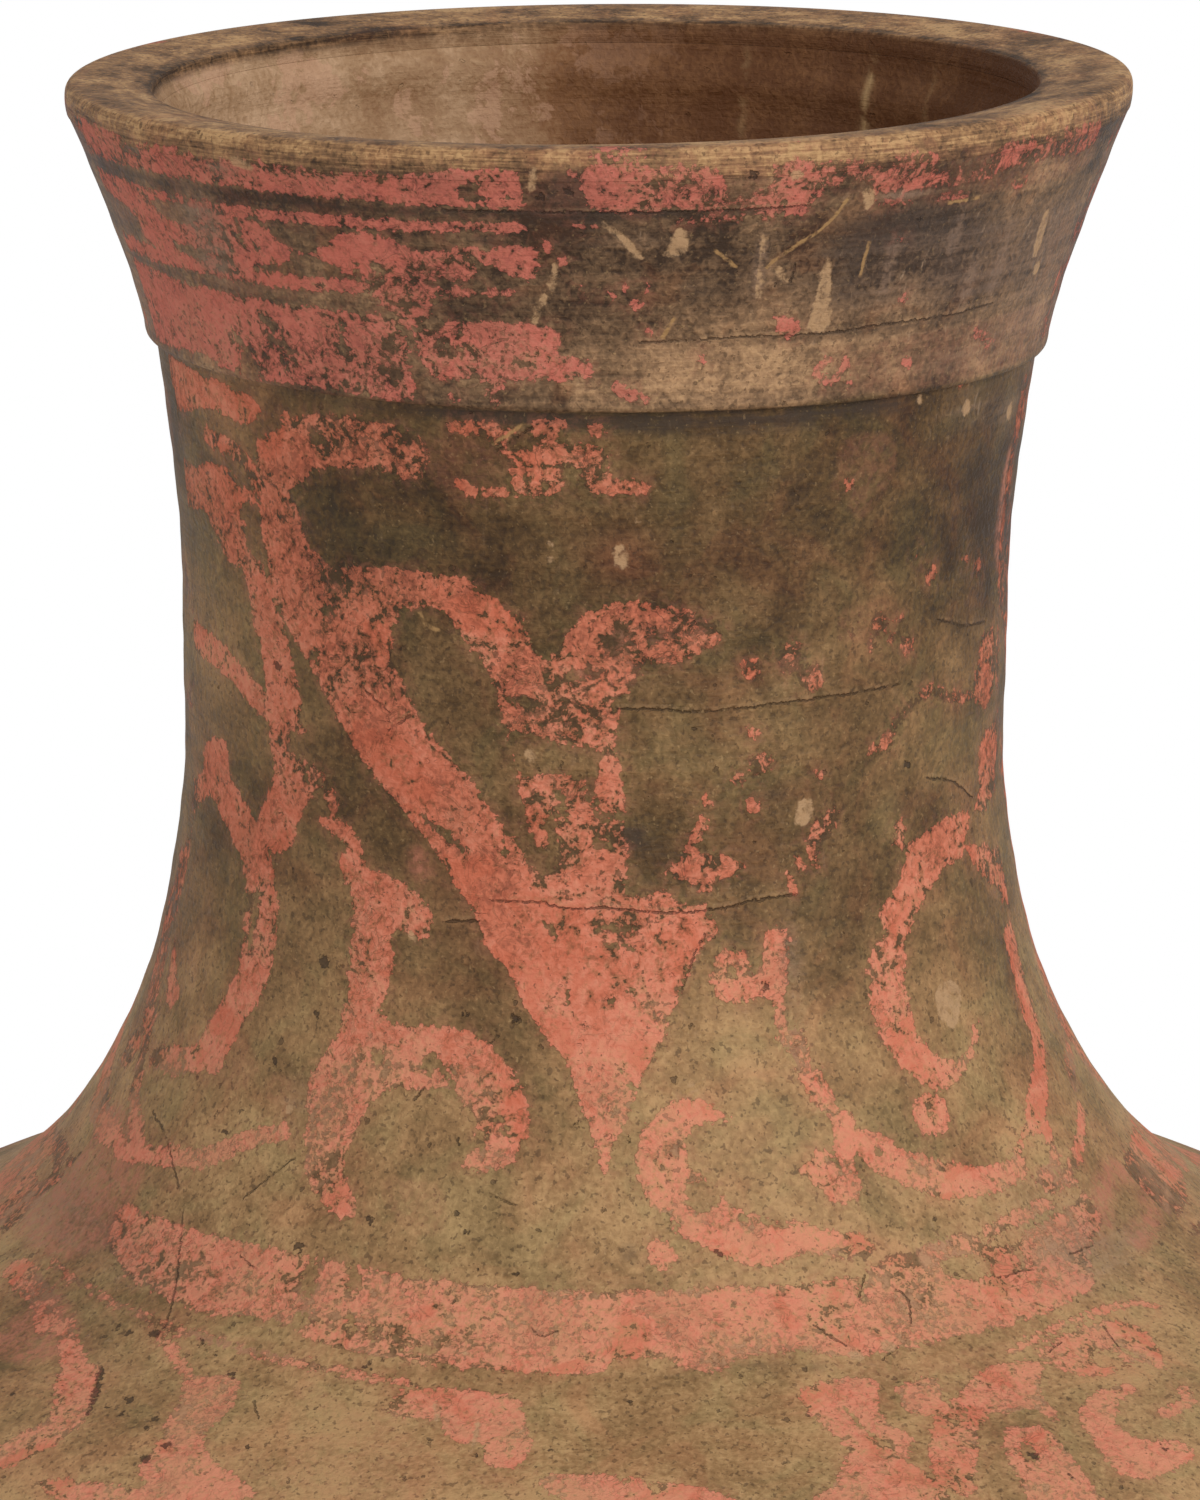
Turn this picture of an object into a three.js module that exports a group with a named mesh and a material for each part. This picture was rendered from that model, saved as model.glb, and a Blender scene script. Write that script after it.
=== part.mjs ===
import * as THREE from "three";

// A tall painted earthenware jar with a flared mouth, a long neck, a round belly and a ring foot.
// It is built as potters build such a jar: courses of clay stacked on a floor disc and luted with slip,
// a tapered strap round the mouth, a lip coil on top, and coils pressed over the main joins inside.
// Millimetres, +Z up. The origin is the centre of the face that the foot stands on.

// Heights, from the table up
const footHeight = 57;
const floorThickness = 12;
const bowlHeight = 141; // floor to girth
const shoulderHeight = 96; // girth to the break where the shoulder turns up into the neck
const neckRootHeight = 92; // break to the neck's waist
const neckUpperHeight = 68; // waist to the underside of the mouth strap
const collarHeight = 42.5; // underside of the mouth strap to the widest ring of the lip

// Outside radii
const footEdgeRadius = 103;
const footTopRadius = 87;
const bowlBaseRadius = 94;
const girthRadius = 183;
const breakRadius = 121;
const neckWaistRadius = 70.3;
const neckTopRadius = 74.9;
const lipRadius = 90;

// Thickness of the clay, square to the wall
const footWall = 10;
const bowlWall = 12;
const girthWall = 10;
const neckWall = 9;
const slipGap = 0.3; // the layer of slip in every join

// How the outline bends: slopes in degrees from level, and the reach of each bend along its tangent
const bowlBaseSlope = 42;
const bowlBaseReach = 46;
const girthReachDown = 70;
const girthReachUp = 56;
const breakSlope = 22;
const shoulderReach = 38;
const neckRootReach = 48.5;
const waistReachDown = 20;
const waistReachUp = 45;
const neckTopSlope = 82.5;
const neckTopReach = 16;

// Joins between the courses
const scarf = 5; // how much higher a join lies on the inside of the wall than on the outside
const scarfFade = 24; // run over which the slanting joins settle to the level ends of the wall
const topNeckCourse = 51; // height of the neck's top course, below the strap
const middleNeckCourse = 33;
const rootNeckCourse = 63;
const shoulderCourses = 3;
const bowlCourses = 3;

// Mouth strap and lip
const ledgeRadius = 77;
const ledgeRound = 2.4; // height of the rounded lower corner of the strap
const ledgeUndercut = 0.9; // how far that corner draws in
const strapBellyRadius = 79.2;
const strapBellyHeight = 15; // above the strap's underside
const mouthRadius = 74.5;
const mouthWallTopRadius = 83; // outside of the mouth wall where the lip coil sits on it
const lipDepth = 2.8; // widest ring of the lip down to the coil's seat
const lipOverhang = 0.7; // how far the lip coil stands out over the strap
const lipCrown = 2.2; // widest ring of the lip up to its top edge
const lipRound = 3.8; // width of the rounded outer edge
const lipFall = 1.5; // drop of the top face towards the mouth
const lipInnerRound = 1.2;

// Foot band: the thick lower edge of the foot
const footBandHeight = 15;
const footBandThickness = 4;
const footBandRound = 2;
const footFlareRadius = 87;
const footFlareHeight = 22;

// Coils pressed into the joins inside
const coilWidth = 26;
const coilThickness = 4;
const cornerCoil = 14; // leg of the coils in the two corners of the floor

const segments = 48;
const bowlSteps = 3;
const shoulderSteps = 3;
const rootSteps = 5;
const middleSteps = 2;
const topSteps = 3;
const mouthSteps = 3;

// Levels worked out from the heights
const floorUnderside = footHeight;
const floorTop = footHeight + floorThickness;
const girthLevel = floorTop + bowlHeight;
const breakLevel = girthLevel + shoulderHeight;
const waistLevel = breakLevel + neckRootHeight;
const ledgeLevel = waistLevel + neckUpperHeight;
const lipLevel = ledgeLevel + collarHeight;
const lipSeat = lipLevel - lipDepth;

const point = (radius, height) => new THREE.Vector2(radius, height);
const lerp = THREE.MathUtils.lerp;

function along(from, slope, reach) {
  const angle = THREE.MathUtils.degToRad(slope);
  return point(from.x + reach * Math.cos(angle), from.y + reach * Math.sin(angle));
}

// The outside of the wall from the floor to the seat of the lip coil, as one smooth path
function wallOutline() {
  const base = point(bowlBaseRadius, floorTop + slipGap);
  const girth = point(girthRadius, girthLevel);
  const shoulderBreak = point(breakRadius, breakLevel);
  const waist = point(neckWaistRadius, waistLevel);
  const neckTop = point(neckTopRadius, ledgeLevel);
  const seat = point(mouthWallTopRadius, lipSeat - slipGap);
  const path = new THREE.CurvePath();
  path.add(new THREE.CubicBezierCurve(
    base,
    along(base, bowlBaseSlope, bowlBaseReach),
    point(girthRadius, girthLevel - girthReachDown),
    girth,
  ));
  path.add(new THREE.CubicBezierCurve(
    girth,
    point(girthRadius, girthLevel + girthReachUp),
    along(shoulderBreak, -breakSlope, shoulderReach),
    shoulderBreak,
  ));
  path.add(new THREE.CubicBezierCurve(
    shoulderBreak,
    along(shoulderBreak, 180 - breakSlope, neckRootReach),
    point(neckWaistRadius, waistLevel - waistReachDown),
    waist,
  ));
  path.add(new THREE.CubicBezierCurve(
    waist,
    point(neckWaistRadius, waistLevel + waistReachUp),
    along(neckTop, 180 + neckTopSlope, neckTopReach),
    neckTop,
  ));
  path.add(new THREE.LineCurve(neckTop, seat));
  return path;
}

const outline = wallOutline();
const wallRun = outline.getLength(); // distance along the outside of the wall, floor to lip

const outsideAt = (run) => outline.getPoint(THREE.MathUtils.clamp(run / wallRun, 0, 1));

function normalAt(run) {
  const reach = 0.5;
  const ahead = outsideAt(Math.min(run + reach, wallRun));
  const behind = outsideAt(Math.max(run - reach, 0));
  const tangent = ahead.sub(behind).normalize();
  return point(tangent.y, -tangent.x);
}

function runAtHeight(height) {
  let low = 0;
  let high = wallRun;
  while (high - low > 1e-4) {
    const middle = (low + high) / 2;
    if (outsideAt(middle).y < height) low = middle;
    else high = middle;
  }
  return (low + high) / 2;
}

function wallThickness(height) {
  if (height < girthLevel) {
    return lerp(bowlWall, girthWall, (height - floorTop) / bowlHeight);
  }
  const share = (height - girthLevel) / (waistLevel - girthLevel);
  return lerp(girthWall, neckWall, Math.min(share, 1));
}

// The inside of the wall, opposite the outside at the same run. It is set higher by the scarf, so that
// the joins slant, and comes level at both ends of the wall, which sit on flat faces.
function insideAt(run) {
  const inner = THREE.MathUtils.clamp(Math.min(run, wallRun - run) / scarfFade, 0, 1);
  const shifted = run + scarf * inner;
  const outside = outsideAt(shifted);
  const normal = normalAt(shifted);
  const across = point(1, 0).lerp(normal, inner).normalize();
  const thickness = wallThickness(outside.y) / across.dot(normal);
  return outside.sub(across.multiplyScalar(thickness));
}

// Faces point outwards when a profile runs counterclockwise in radius and height
function revolve(name, profile, material) {
  const area = THREE.ShapeUtils.area(profile);
  const turned = area > 0 ? profile : [...profile].reverse();
  const onAxis = turned.filter((p) => p.x === 0).length;
  const points = onAxis ? turned : [...turned, turned[0].clone()];
  const geometry = new THREE.LatheGeometry(points, segments);
  geometry.rotateX(Math.PI / 2);
  const mesh = new THREE.Mesh(geometry, material);
  mesh.name = name;
  return mesh;
}

// One course of the wall: its outside and inside points between two joins, clear of each by half the slip
function courseBetween(from, to, steps) {
  const start = from > 0 ? from + slipGap / 2 : 0;
  const end = to < wallRun ? to - slipGap / 2 : wallRun;
  const outside = [];
  const inside = [];
  for (let step = 0; step <= steps; step += 1) {
    const run = lerp(start, end, step / steps);
    outside.push(outsideAt(run));
    inside.push(insideAt(run));
  }
  return { outside, inside };
}

const courseProfile = (course) => [...course.outside, ...[...course.inside].reverse()];

function evenJoins(from, to, count) {
  return Array.from({ length: count + 1 }, (_, index) => lerp(from, to, index / count));
}

// A point moved off a face by the slip, along the face's normal
const offFace = (at, normal, distance) => at.clone().addScaledVector(normal, distance);

// A flattened coil pressed over a join on the inside of the wall
function coilOverJoin(lower, upper) {
  const below = lower.inside.at(-1);
  const above = upper.inside[0];
  const lowerNext = lower.inside.at(-2);
  const upperNext = upper.inside[1];
  const reachBelow = Math.min(coilWidth / 2, below.distanceTo(lowerNext));
  const reachAbove = Math.min(coilWidth / 2, above.distanceTo(upperNext));
  const foot = below.clone().lerp(lowerNext, reachBelow / below.distanceTo(lowerNext));
  const head = above.clone().lerp(upperNext, reachAbove / above.distanceTo(upperNext));
  const direction = head.clone().sub(foot).normalize();
  const inward = point(-direction.y, direction.x);
  const seat = [foot, below, above, head].map((p) => offFace(p, inward, slipGap));
  const crest = [0.25, 0.75].map((share) => {
    const on = foot.clone().lerp(head, share);
    const nearest = share < 0.5 ? below : above;
    const bulge = Math.max(nearest.clone().sub(on).dot(inward), 0);
    return offFace(on, inward, bulge + slipGap + coilThickness);
  });
  return [...seat, crest[1], crest[0]];
}

// A coil in a corner: two legs and a hollow face. The second leg follows the wall that the corner meets.
function coilInCorner(corner, alongFloor, alongWall) {
  const a = offFace(corner, alongFloor, cornerCoil);
  const b = offFace(corner, alongWall, cornerCoil);
  const hollow = new THREE.QuadraticBezierCurve(b, b.clone().add(a).add(corner).divideScalar(3), a);
  return [corner, ...hollow.getPoints(2)];
}

// Materials
const pottery = (color, roughness) => new THREE.MeshStandardMaterial({ color, roughness, metalness: 0 });
const paintedClay = pottery(0x8a6350, 0.85);
const bareClay = pottery(0x7b6650, 0.9);
const lipClay = pottery(0xa07f58, 0.85);
const lutingClay = pottery(0x6e5a47, 0.95);

// Foot ring: a flared wall under the floor
const footCurve = new THREE.QuadraticBezierCurve(
  point(footEdgeRadius, 0),
  point(footFlareRadius, footFlareHeight),
  point(footTopRadius, floorUnderside - slipGap),
);
const footSteps = 4;
const footOutside = footCurve.getPoints(footSteps);
const footInside = footOutside.map((p) => point(p.x - footWall, p.y));
const footRing = revolve("foot_ring", [...footOutside, ...[...footInside].reverse()], paintedClay);

// The foot's radius on its facets, for what is seated against them
function onFacets(points, height) {
  const upper = points.findIndex((p) => p.y >= height);
  if (upper < 1) return points.at(upper).x;
  const a = points[upper - 1];
  const b = points[upper];
  return lerp(a.x, b.x, (height - a.y) / (b.y - a.y));
}

function footBandProfile() {
  const below = footOutside.filter((p) => p.y < footBandHeight);
  const top = point(onFacets(footOutside, footBandHeight), footBandHeight);
  const seat = [...below, top].map((p) => point(p.x + slipGap, p.y));
  const face = footEdgeRadius + slipGap + footBandThickness;
  const outerTop = top.x + slipGap + footBandThickness;
  return [
    ...seat.reverse(),
    point(face - footBandRound, 0),
    point(face, footBandRound),
    point(outerTop, footBandHeight - footBandRound),
    point(outerTop - footBandRound, footBandHeight),
  ];
}

function lipProfile() {
  const innerTop = lipLevel + lipCrown - lipFall;
  const outerEdge = [0, 1, 2, 3].map((step) => {
    const angle = (step / 3) * (Math.PI / 2);
    return point(
      lipRadius - lipRound + lipRound * Math.cos(angle),
      lipLevel + lipCrown * Math.sin(angle),
    );
  });
  return [
    point(lipRadius - slipGap, lipSeat),
    ...outerEdge,
    point(mouthRadius + lipInnerRound, innerTop),
    point(mouthRadius, innerTop - lipInnerRound),
    point(mouthWall.inside.at(-1).x, lipSeat),
  ];
}

// The strap follows the facets of the mouth wall behind it and flares to the lip in front
function strapProfile() {
  const top = lipSeat - slipGap;
  const seat = mouthWall.outside.map((p) => point(p.x + slipGap, p.y));
  seat[0].y = ledgeLevel;
  const front = new THREE.QuadraticBezierCurve(
    point(ledgeRadius, ledgeLevel + ledgeRound),
    point(strapBellyRadius, ledgeLevel + strapBellyHeight),
    point(lipRadius - lipOverhang, top),
  );
  return [
    ...seat.reverse(),
    point(ledgeRadius - ledgeUndercut, ledgeLevel),
    ...front.getPoints(4),
  ];
}

function floorProfile() {
  return [
    point(0, floorUnderside),
    point(footTopRadius, floorUnderside),
    point(bowlBaseRadius, floorTop),
    point(0, floorTop),
  ];
}

// The joins, as runs along the wall
const ledgeJoin = runAtHeight(ledgeLevel);
const upperNeckJoin = runAtHeight(ledgeLevel - topNeckCourse);
const lowerNeckJoin = runAtHeight(ledgeLevel - topNeckCourse - middleNeckCourse);
const neckJoin = runAtHeight(ledgeLevel - topNeckCourse - middleNeckCourse - rootNeckCourse);
const girthJoin = runAtHeight(girthLevel);

function courses(joins, steps) {
  return joins.slice(1).map((to, index) => courseBetween(joins[index], to, steps));
}

const bowl = courses(evenJoins(0, girthJoin, bowlCourses), bowlSteps);
const shoulder = courses(evenJoins(girthJoin, neckJoin, shoulderCourses), shoulderSteps);
const neckRoot = courseBetween(neckJoin, lowerNeckJoin, rootSteps);
const neckMiddle = courseBetween(lowerNeckJoin, upperNeckJoin, middleSteps);
const neckTop = courseBetween(upperNeckJoin, ledgeJoin, topSteps);
const mouthWall = courseBetween(ledgeJoin, wallRun, mouthSteps);

const jar = new THREE.Group();
jar.add(footRing);
jar.add(revolve("foot_band", footBandProfile(), paintedClay));
jar.add(revolve("floor_disc", floorProfile(), bareClay));
bowl.forEach((course, index) => {
  jar.add(revolve(`bowl_course_${index + 1}`, courseProfile(course), paintedClay));
});
shoulder.forEach((course, index) => {
  jar.add(revolve(`shoulder_course_${index + 1}`, courseProfile(course), paintedClay));
});
jar.add(revolve("neck_root_course", courseProfile(neckRoot), paintedClay));
jar.add(revolve("neck_middle_course", courseProfile(neckMiddle), paintedClay));
jar.add(revolve("neck_top_course", courseProfile(neckTop), paintedClay));
jar.add(revolve("mouth_wall", courseProfile(mouthWall), bareClay));
jar.add(revolve("mouth_strap", strapProfile(), paintedClay));
jar.add(revolve("lip_coil", lipProfile(), lipClay));

const floorCorner = offFace(bowl[0].inside[0], point(-1, 1), slipGap);
const bowlRise = bowl[0].inside[1].clone().sub(bowl[0].inside[0]).normalize();
jar.add(revolve("floor_coil", coilInCorner(floorCorner, point(-1, 0), bowlRise), lutingClay));

const footCorner = offFace(footInside.at(-1), point(-1, -1), slipGap);
const footDrop = footInside.at(-2).clone().sub(footInside.at(-1)).normalize();
jar.add(revolve("foot_coil", coilInCorner(footCorner, point(-1, 0), footDrop), lutingClay));

jar.add(revolve("girth_coil", coilOverJoin(bowl.at(-1), shoulder[0]), lutingClay));
jar.add(revolve("neck_coil", coilOverJoin(shoulder.at(-1), neckRoot), lutingClay));

export default jar;
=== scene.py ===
import math

import bpy
import numpy as np
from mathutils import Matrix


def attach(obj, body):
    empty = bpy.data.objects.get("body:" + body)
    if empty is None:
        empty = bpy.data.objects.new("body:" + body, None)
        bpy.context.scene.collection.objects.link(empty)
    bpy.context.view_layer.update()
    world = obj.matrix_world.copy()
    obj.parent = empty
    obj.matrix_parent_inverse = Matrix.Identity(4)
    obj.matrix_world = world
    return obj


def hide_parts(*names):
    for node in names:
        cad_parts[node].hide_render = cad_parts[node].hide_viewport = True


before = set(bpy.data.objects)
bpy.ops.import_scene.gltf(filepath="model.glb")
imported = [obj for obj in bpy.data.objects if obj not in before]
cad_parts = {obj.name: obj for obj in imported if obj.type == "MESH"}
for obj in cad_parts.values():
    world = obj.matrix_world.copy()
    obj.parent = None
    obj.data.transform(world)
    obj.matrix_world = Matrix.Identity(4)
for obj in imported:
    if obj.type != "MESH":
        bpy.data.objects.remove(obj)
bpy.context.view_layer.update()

# The camera stands in front of the jar, higher than its mouth, and looks down on the neck and shoulder.
# Its place and its long lens show the jar from the mouth down to the top of the shoulder.
MM = 0.001
camera_data = bpy.data.cameras.new("camera")
camera_data.sensor_width = 36
camera_data.lens = 184.1
camera_data.clip_start = 0.05
camera_data.clip_end = 40
camera = bpy.data.objects.new("camera", camera_data)
camera.location = (0.34 * MM, -1287 * MM, 688.3 * MM)
camera.rotation_euler = (math.radians(77.08), 0, 0)
bpy.context.scene.collection.objects.link(camera)
bpy.context.scene.camera = camera
bpy.context.scene.view_settings.view_transform = "Standard"


# Light: one large soft lamp high on the right and in front, a weaker one on the left, and an even room
# that lifts the shadows.
def soft_lamp(name, place, size, power):
    data = bpy.data.lights.new(name, "AREA")
    data.shape = "DISK"
    data.size = size
    data.energy = power
    lamp = bpy.data.objects.new(name, data)
    lamp.location = place
    aim = np.array((0, 0, 0.38)) - np.array(place)
    flat = math.hypot(aim[0], aim[1])
    lamp.rotation_euler = (math.atan2(flat, -aim[2]), 0, math.atan2(aim[1], aim[0]) - math.pi / 2)
    bpy.context.scene.collection.objects.link(lamp)


soft_lamp("key_lamp", (1.5, -1.7, 1.7), 1.5, 33)
soft_lamp("fill_lamp", (-1.7, -1.6, 1.0), 1.6, 7.2)
room_light = 0.46


# Floor and backdrop: a wide pale board that the jar stands on, and a white room behind it. The board
# keeps the jar's shadow and runs out into white. Its finish is the first, so the words that every
# finish is written in are defined here.
def linear(red, green, blue):
    """A colour as it looks on a screen, from 0 to 255, turned into light for a shader."""
    share = [value / 255 for value in (red, green, blue)]
    return [v / 12.92 if v <= 0.04045 else ((v + 0.055) / 1.055) ** 2.4 for v in share] + [1]


class Shade:
    """One output of a finish's nodes, so that sums and products of it read as sums and products."""

    def __init__(self, finish, socket):
        self.finish = finish
        self.socket = socket

    def math(self, operation, first, second):
        values = {"Value": first, "Value_001": second}
        return self.finish.add("ShaderNodeMath", {"operation": operation}, values)

    def __add__(self, other):
        return self.math("ADD", self, other)

    def __radd__(self, other):
        return self.math("ADD", other, self)

    def __sub__(self, other):
        return self.math("SUBTRACT", self, other)

    def __rsub__(self, other):
        return self.math("SUBTRACT", other, self)

    def __mul__(self, other):
        return self.math("MULTIPLY", self, other)

    def __rmul__(self, other):
        return self.math("MULTIPLY", other, self)

    def at_most(self, other):
        return self.math("MINIMUM", self, other)

    def at_least(self, other):
        return self.math("MAXIMUM", self, other)

    def size(self):
        """The value without its sign."""
        return self.math("ABSOLUTE", self, 0)

    def between(self, low, high):
        """0 below low, 1 above high, and a smooth rise from one to the other."""
        inputs = {"Value": self, "From Min": low, "From Max": high}
        return self.finish.add("ShaderNodeMapRange", {"interpolation_type": "SMOOTHSTEP"}, inputs)


class Finish:
    """The nodes of one finish. Patterns read the piece's own coordinates and painted attributes."""

    def __init__(self, name):
        self.material = bpy.data.materials.new(name)
        self.material.use_nodes = True
        self.tree = self.material.node_tree
        self.surface = self.tree.nodes["Principled BSDF"]
        self.place = self.add("ShaderNodeTexCoord", output="Object")

    def add(self, kind, settings=None, inputs=None, output=0):
        """Makes a node with its settings, feeds its sockets and gives one of its outputs."""
        node = self.tree.nodes.new(kind)
        for name, value in (settings or {}).items():
            setattr(node, name, value)
        by_name = {socket.identifier: socket for socket in node.inputs}
        for name, value in (inputs or {}).items():
            self.feed(by_name.get(name) or node.inputs[name], value)
        return Shade(self, node.outputs[output])

    def feed(self, socket, value):
        if isinstance(value, Shade):
            self.tree.links.new(value.socket, socket)
        else:
            socket.default_value = value

    def set(self, name, value):
        self.feed(self.surface.inputs[name], value)

    def painted(self, name):
        """A value that a piece carries on its points."""
        return self.add("ShaderNodeAttribute", {"attribute_name": name}, output="Fac")

    def mottle(self, size, detail=4, rough=0.6, stretch=(1, 1, 1), shift=0, swirl=0):
        """Cloudy noise whose patches are about size millimetres across, longer where stretch is small."""
        place = self.add(
            "ShaderNodeMapping",
            inputs={"Vector": self.place, "Location": (shift, shift, shift), "Scale": stretch},
        )
        inputs = {"Vector": place, "Scale": 1000 / size, "Detail": detail, "Roughness": rough}
        return self.add("ShaderNodeTexNoise", inputs={**inputs, "Distortion": swirl})

    def mix(self, first, second, share):
        """The first colour where share is 0, the second where it is 1."""
        inputs = {"Factor_Float": share, "A_Color": first, "B_Color": second}
        return self.add("ShaderNodeMix", {"data_type": "RGBA"}, inputs, output=2)

    def ramp(self, value, *stops):
        """Colours along a value, each stop a position and a colour."""
        ramp = self.add("ShaderNodeValToRGB", inputs={"Fac": value}, output="Color")
        marks = ramp.socket.node.color_ramp.elements
        for position, colour in stops[1:-1]:
            marks.new(position).color = colour
        for mark, (position, colour) in zip(sorted(marks, key=lambda m: m.position), stops):
            mark.position = position
            mark.color = colour
        return ramp

    def cells(self, size, shift):
        """Scattered round spots: distance from the nearest centre, and a chance value for each."""
        moved = {"Vector": self.place, "Location": (shift, shift, shift)}
        inputs = {"Vector": self.add("ShaderNodeMapping", inputs=moved), "Scale": 1000 / size}
        distance = self.add("ShaderNodeTexVoronoi", inputs=inputs, output="Distance")
        chance = Shade(self, distance.socket.node.outputs["Color"])
        return distance, self.add("ShaderNodeSeparateColor", inputs={"Color": chance}, output="Red")


floor_radius = 6
white_from = 0.45
shadow_reach = 1.0
bpy.ops.object.select_all(action="DESELECT")
bpy.ops.mesh.primitive_circle_add(vertices=96, radius=floor_radius, fill_type="NGON")
floor = bpy.context.object
floor.name = "floor"
floor_finish = Finish("pale_floor")
floor_finish.set("Base Color", linear(232, 230, 226))
floor_finish.set("Roughness", 0.9)
floor_finish.set("Specular IOR Level", 0.1)
from_middle = floor_finish.add(
    "ShaderNodeVectorMath", {"operation": "LENGTH"}, {"Vector": floor_finish.place}, output="Value"
)
seen = floor_finish.add("ShaderNodeLightPath", output="Is Camera Ray")
mirrored = floor_finish.add("ShaderNodeLightPath", output="Is Glossy Ray")
through = floor_finish.add("ShaderNodeLightPath", output="Is Transmission Ray")
white_out = seen.at_least(mirrored).at_least(through) * from_middle.between(white_from, shadow_reach)
white = floor_finish.add("ShaderNodeEmission", inputs={"Color": linear(255, 255, 255), "Strength": 1.0})
output_node = floor_finish.tree.nodes["Material Output"]
blended = floor_finish.add("ShaderNodeMixShader", inputs={"Fac": white_out})
blend_node = blended.socket.node
floor_finish.tree.links.new(floor_finish.surface.outputs[0], blend_node.inputs[1])
floor_finish.tree.links.new(white.socket, blend_node.inputs[2])
floor_finish.tree.links.new(blended.socket, output_node.inputs["Surface"])
floor.data.materials.append(floor_finish.material)

world = bpy.data.worlds.new("room")
world.use_nodes = True
bpy.context.scene.world = world
room = world.node_tree.nodes["Background"]
room.inputs["Color"].default_value = (1, 1, 1, 1)
path = world.node_tree.nodes.new("ShaderNodeLightPath")
brightness = world.node_tree.nodes.new("ShaderNodeMapRange")
brightness.inputs["To Min"].default_value = room_light
brightness.inputs["To Max"].default_value = 1.0
world.node_tree.links.new(path.outputs["Is Camera Ray"], brightness.inputs["Value"])
world.node_tree.links.new(brightness.outputs[0], room.inputs["Strength"])

# Foot ring: a flared ring of the same clay, turned upside down and luted under the floor with slip. It
# is the first piece, so what all pieces share is defined here: the jar's outline, the turning, the marks
# of the hand and the fire, the paint and the clay's finish. Sizes in millimetres, from the table up.
floor_underside = 57
floor_top = 69
girth_level = 210
break_level = 306
waist_level = 398
ledge_level = 466
lip_level = 508.5
lip_seat = 505.7
slip = 0.3
foot_wall = 10


def bend(*points, count=160):
    """Points along a quadratic or cubic bend."""
    share = np.linspace(0, 1, count)[:, None]
    level = [np.array(point, float)[None, :] for point in points]
    while len(level) > 1:
        level = [(1 - share) * a + share * b for a, b in zip(level, level[1:])]
    return level[0]


def run_along(line):
    """Millimetres along a line, from its start to each of its points."""
    return np.concatenate([[0], np.cumsum(np.hypot(*np.diff(line, axis=0).T))])


# The potter's wall is one bend from the floor to the mouth, and every course is cut from it
wall_line = np.vstack([
    bend((94, 69), (128.2, 99.8), (183, 140), (183, girth_level)),
    bend((183, girth_level), (183, 266), (156.2, 291.8), (121, break_level))[1:],
    bend((121, break_level), (76.0, 324.2), (70.3, 378), (70.3, waist_level))[1:],
    bend((70.3, waist_level), (70.3, 443), (72.8, 450.1), (74.9, ledge_level))[1:],
    bend((74.9, ledge_level), (83, lip_seat - slip))[1:],
])
strap_line = bend((77, 468.4), (79.2, 481), (89.3, lip_seat - slip))
foot_line = bend((103, 0), (87, 22), (87, floor_underside), count=34)

# The whole outside, and the run along it. The painter's pattern is measured down it from the rim.
skin_line = np.vstack([
    foot_line,
    wall_line[wall_line[:, 1] < ledge_level - 0.1],
    [(74.9, ledge_level - 0.1), (76.1, ledge_level)],
    strap_line,
    [(90, lip_level)],
])
skin_run = run_along(skin_line)


def down_from_rim(height):
    """Millimetres down the outside from the rim to a height."""
    return np.interp(height, skin_line[:, 1], skin_run[-1] - skin_run)


def skin_radius(height):
    """The outside's radius at a height."""
    return np.interp(height, skin_line[:, 1], skin_line[:, 0])


def spun(name, outline, steps):
    """A ring of clay: a circle of points is laid on the section's outline and spun round the axis."""
    bpy.ops.object.select_all(action="DESELECT")
    bpy.ops.mesh.primitive_circle_add(vertices=len(outline), radius=0.01)
    piece = bpy.context.object
    piece.name = name
    piece.data.name = name
    for vertex, (radius, height) in zip(piece.data.vertices, outline):
        vertex.co = (radius * MM, 0, height * MM)
    on_axis = [
        edge.index for edge in piece.data.edges if all(outline[v][0] < 1e-6 for v in edge.vertices)
    ]
    bpy.ops.object.mode_set(mode="EDIT")
    bpy.ops.mesh.select_all(action="DESELECT")
    bpy.ops.object.mode_set(mode="OBJECT")
    for index in on_axis:
        piece.data.edges[index].select = True
    bpy.ops.object.mode_set(mode="EDIT")
    if on_axis:
        bpy.ops.mesh.delete(type="EDGE_FACE")
    bpy.ops.object.mode_set(mode="OBJECT")
    screw = piece.modifiers.new("wheel", "SCREW")
    screw.axis = "Z"
    screw.angle = 2 * math.pi
    screw.steps = steps
    screw.render_steps = steps
    screw.use_merge_vertices = True
    screw.merge_threshold = 0.00001
    bpy.ops.object.modifier_apply(modifier=screw.name)
    bpy.ops.object.mode_set(mode="EDIT")
    bpy.ops.mesh.select_all(action="SELECT")
    bpy.ops.mesh.normals_make_consistent(inside=False)
    bpy.ops.object.mode_set(mode="OBJECT")
    return piece


def read_points(piece):
    """The piece's points in millimetres."""
    flat = np.zeros(len(piece.data.vertices) * 3)
    piece.data.vertices.foreach_get("co", flat)
    return flat.reshape(-1, 3) / MM


def carry(piece, name, values):
    """Stores one value for each of the piece's points, for its finish to read."""
    attribute = piece.data.attributes.new(name, "FLOAT", "POINT")
    attribute.data.foreach_set("value", values.astype(np.float32))


def ripple(values, *waves):
    """A sum of slow waves, each of amplitude, length and start."""
    return sum(size * np.sin(2 * np.pi * (values / length + start)) for size, length, start in waves)


def inside_share(radius, height):
    """0 on the outside face and 1 well inside it."""
    return np.clip((skin_radius(height) - radius - 3) / 4, 0, 1)


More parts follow.
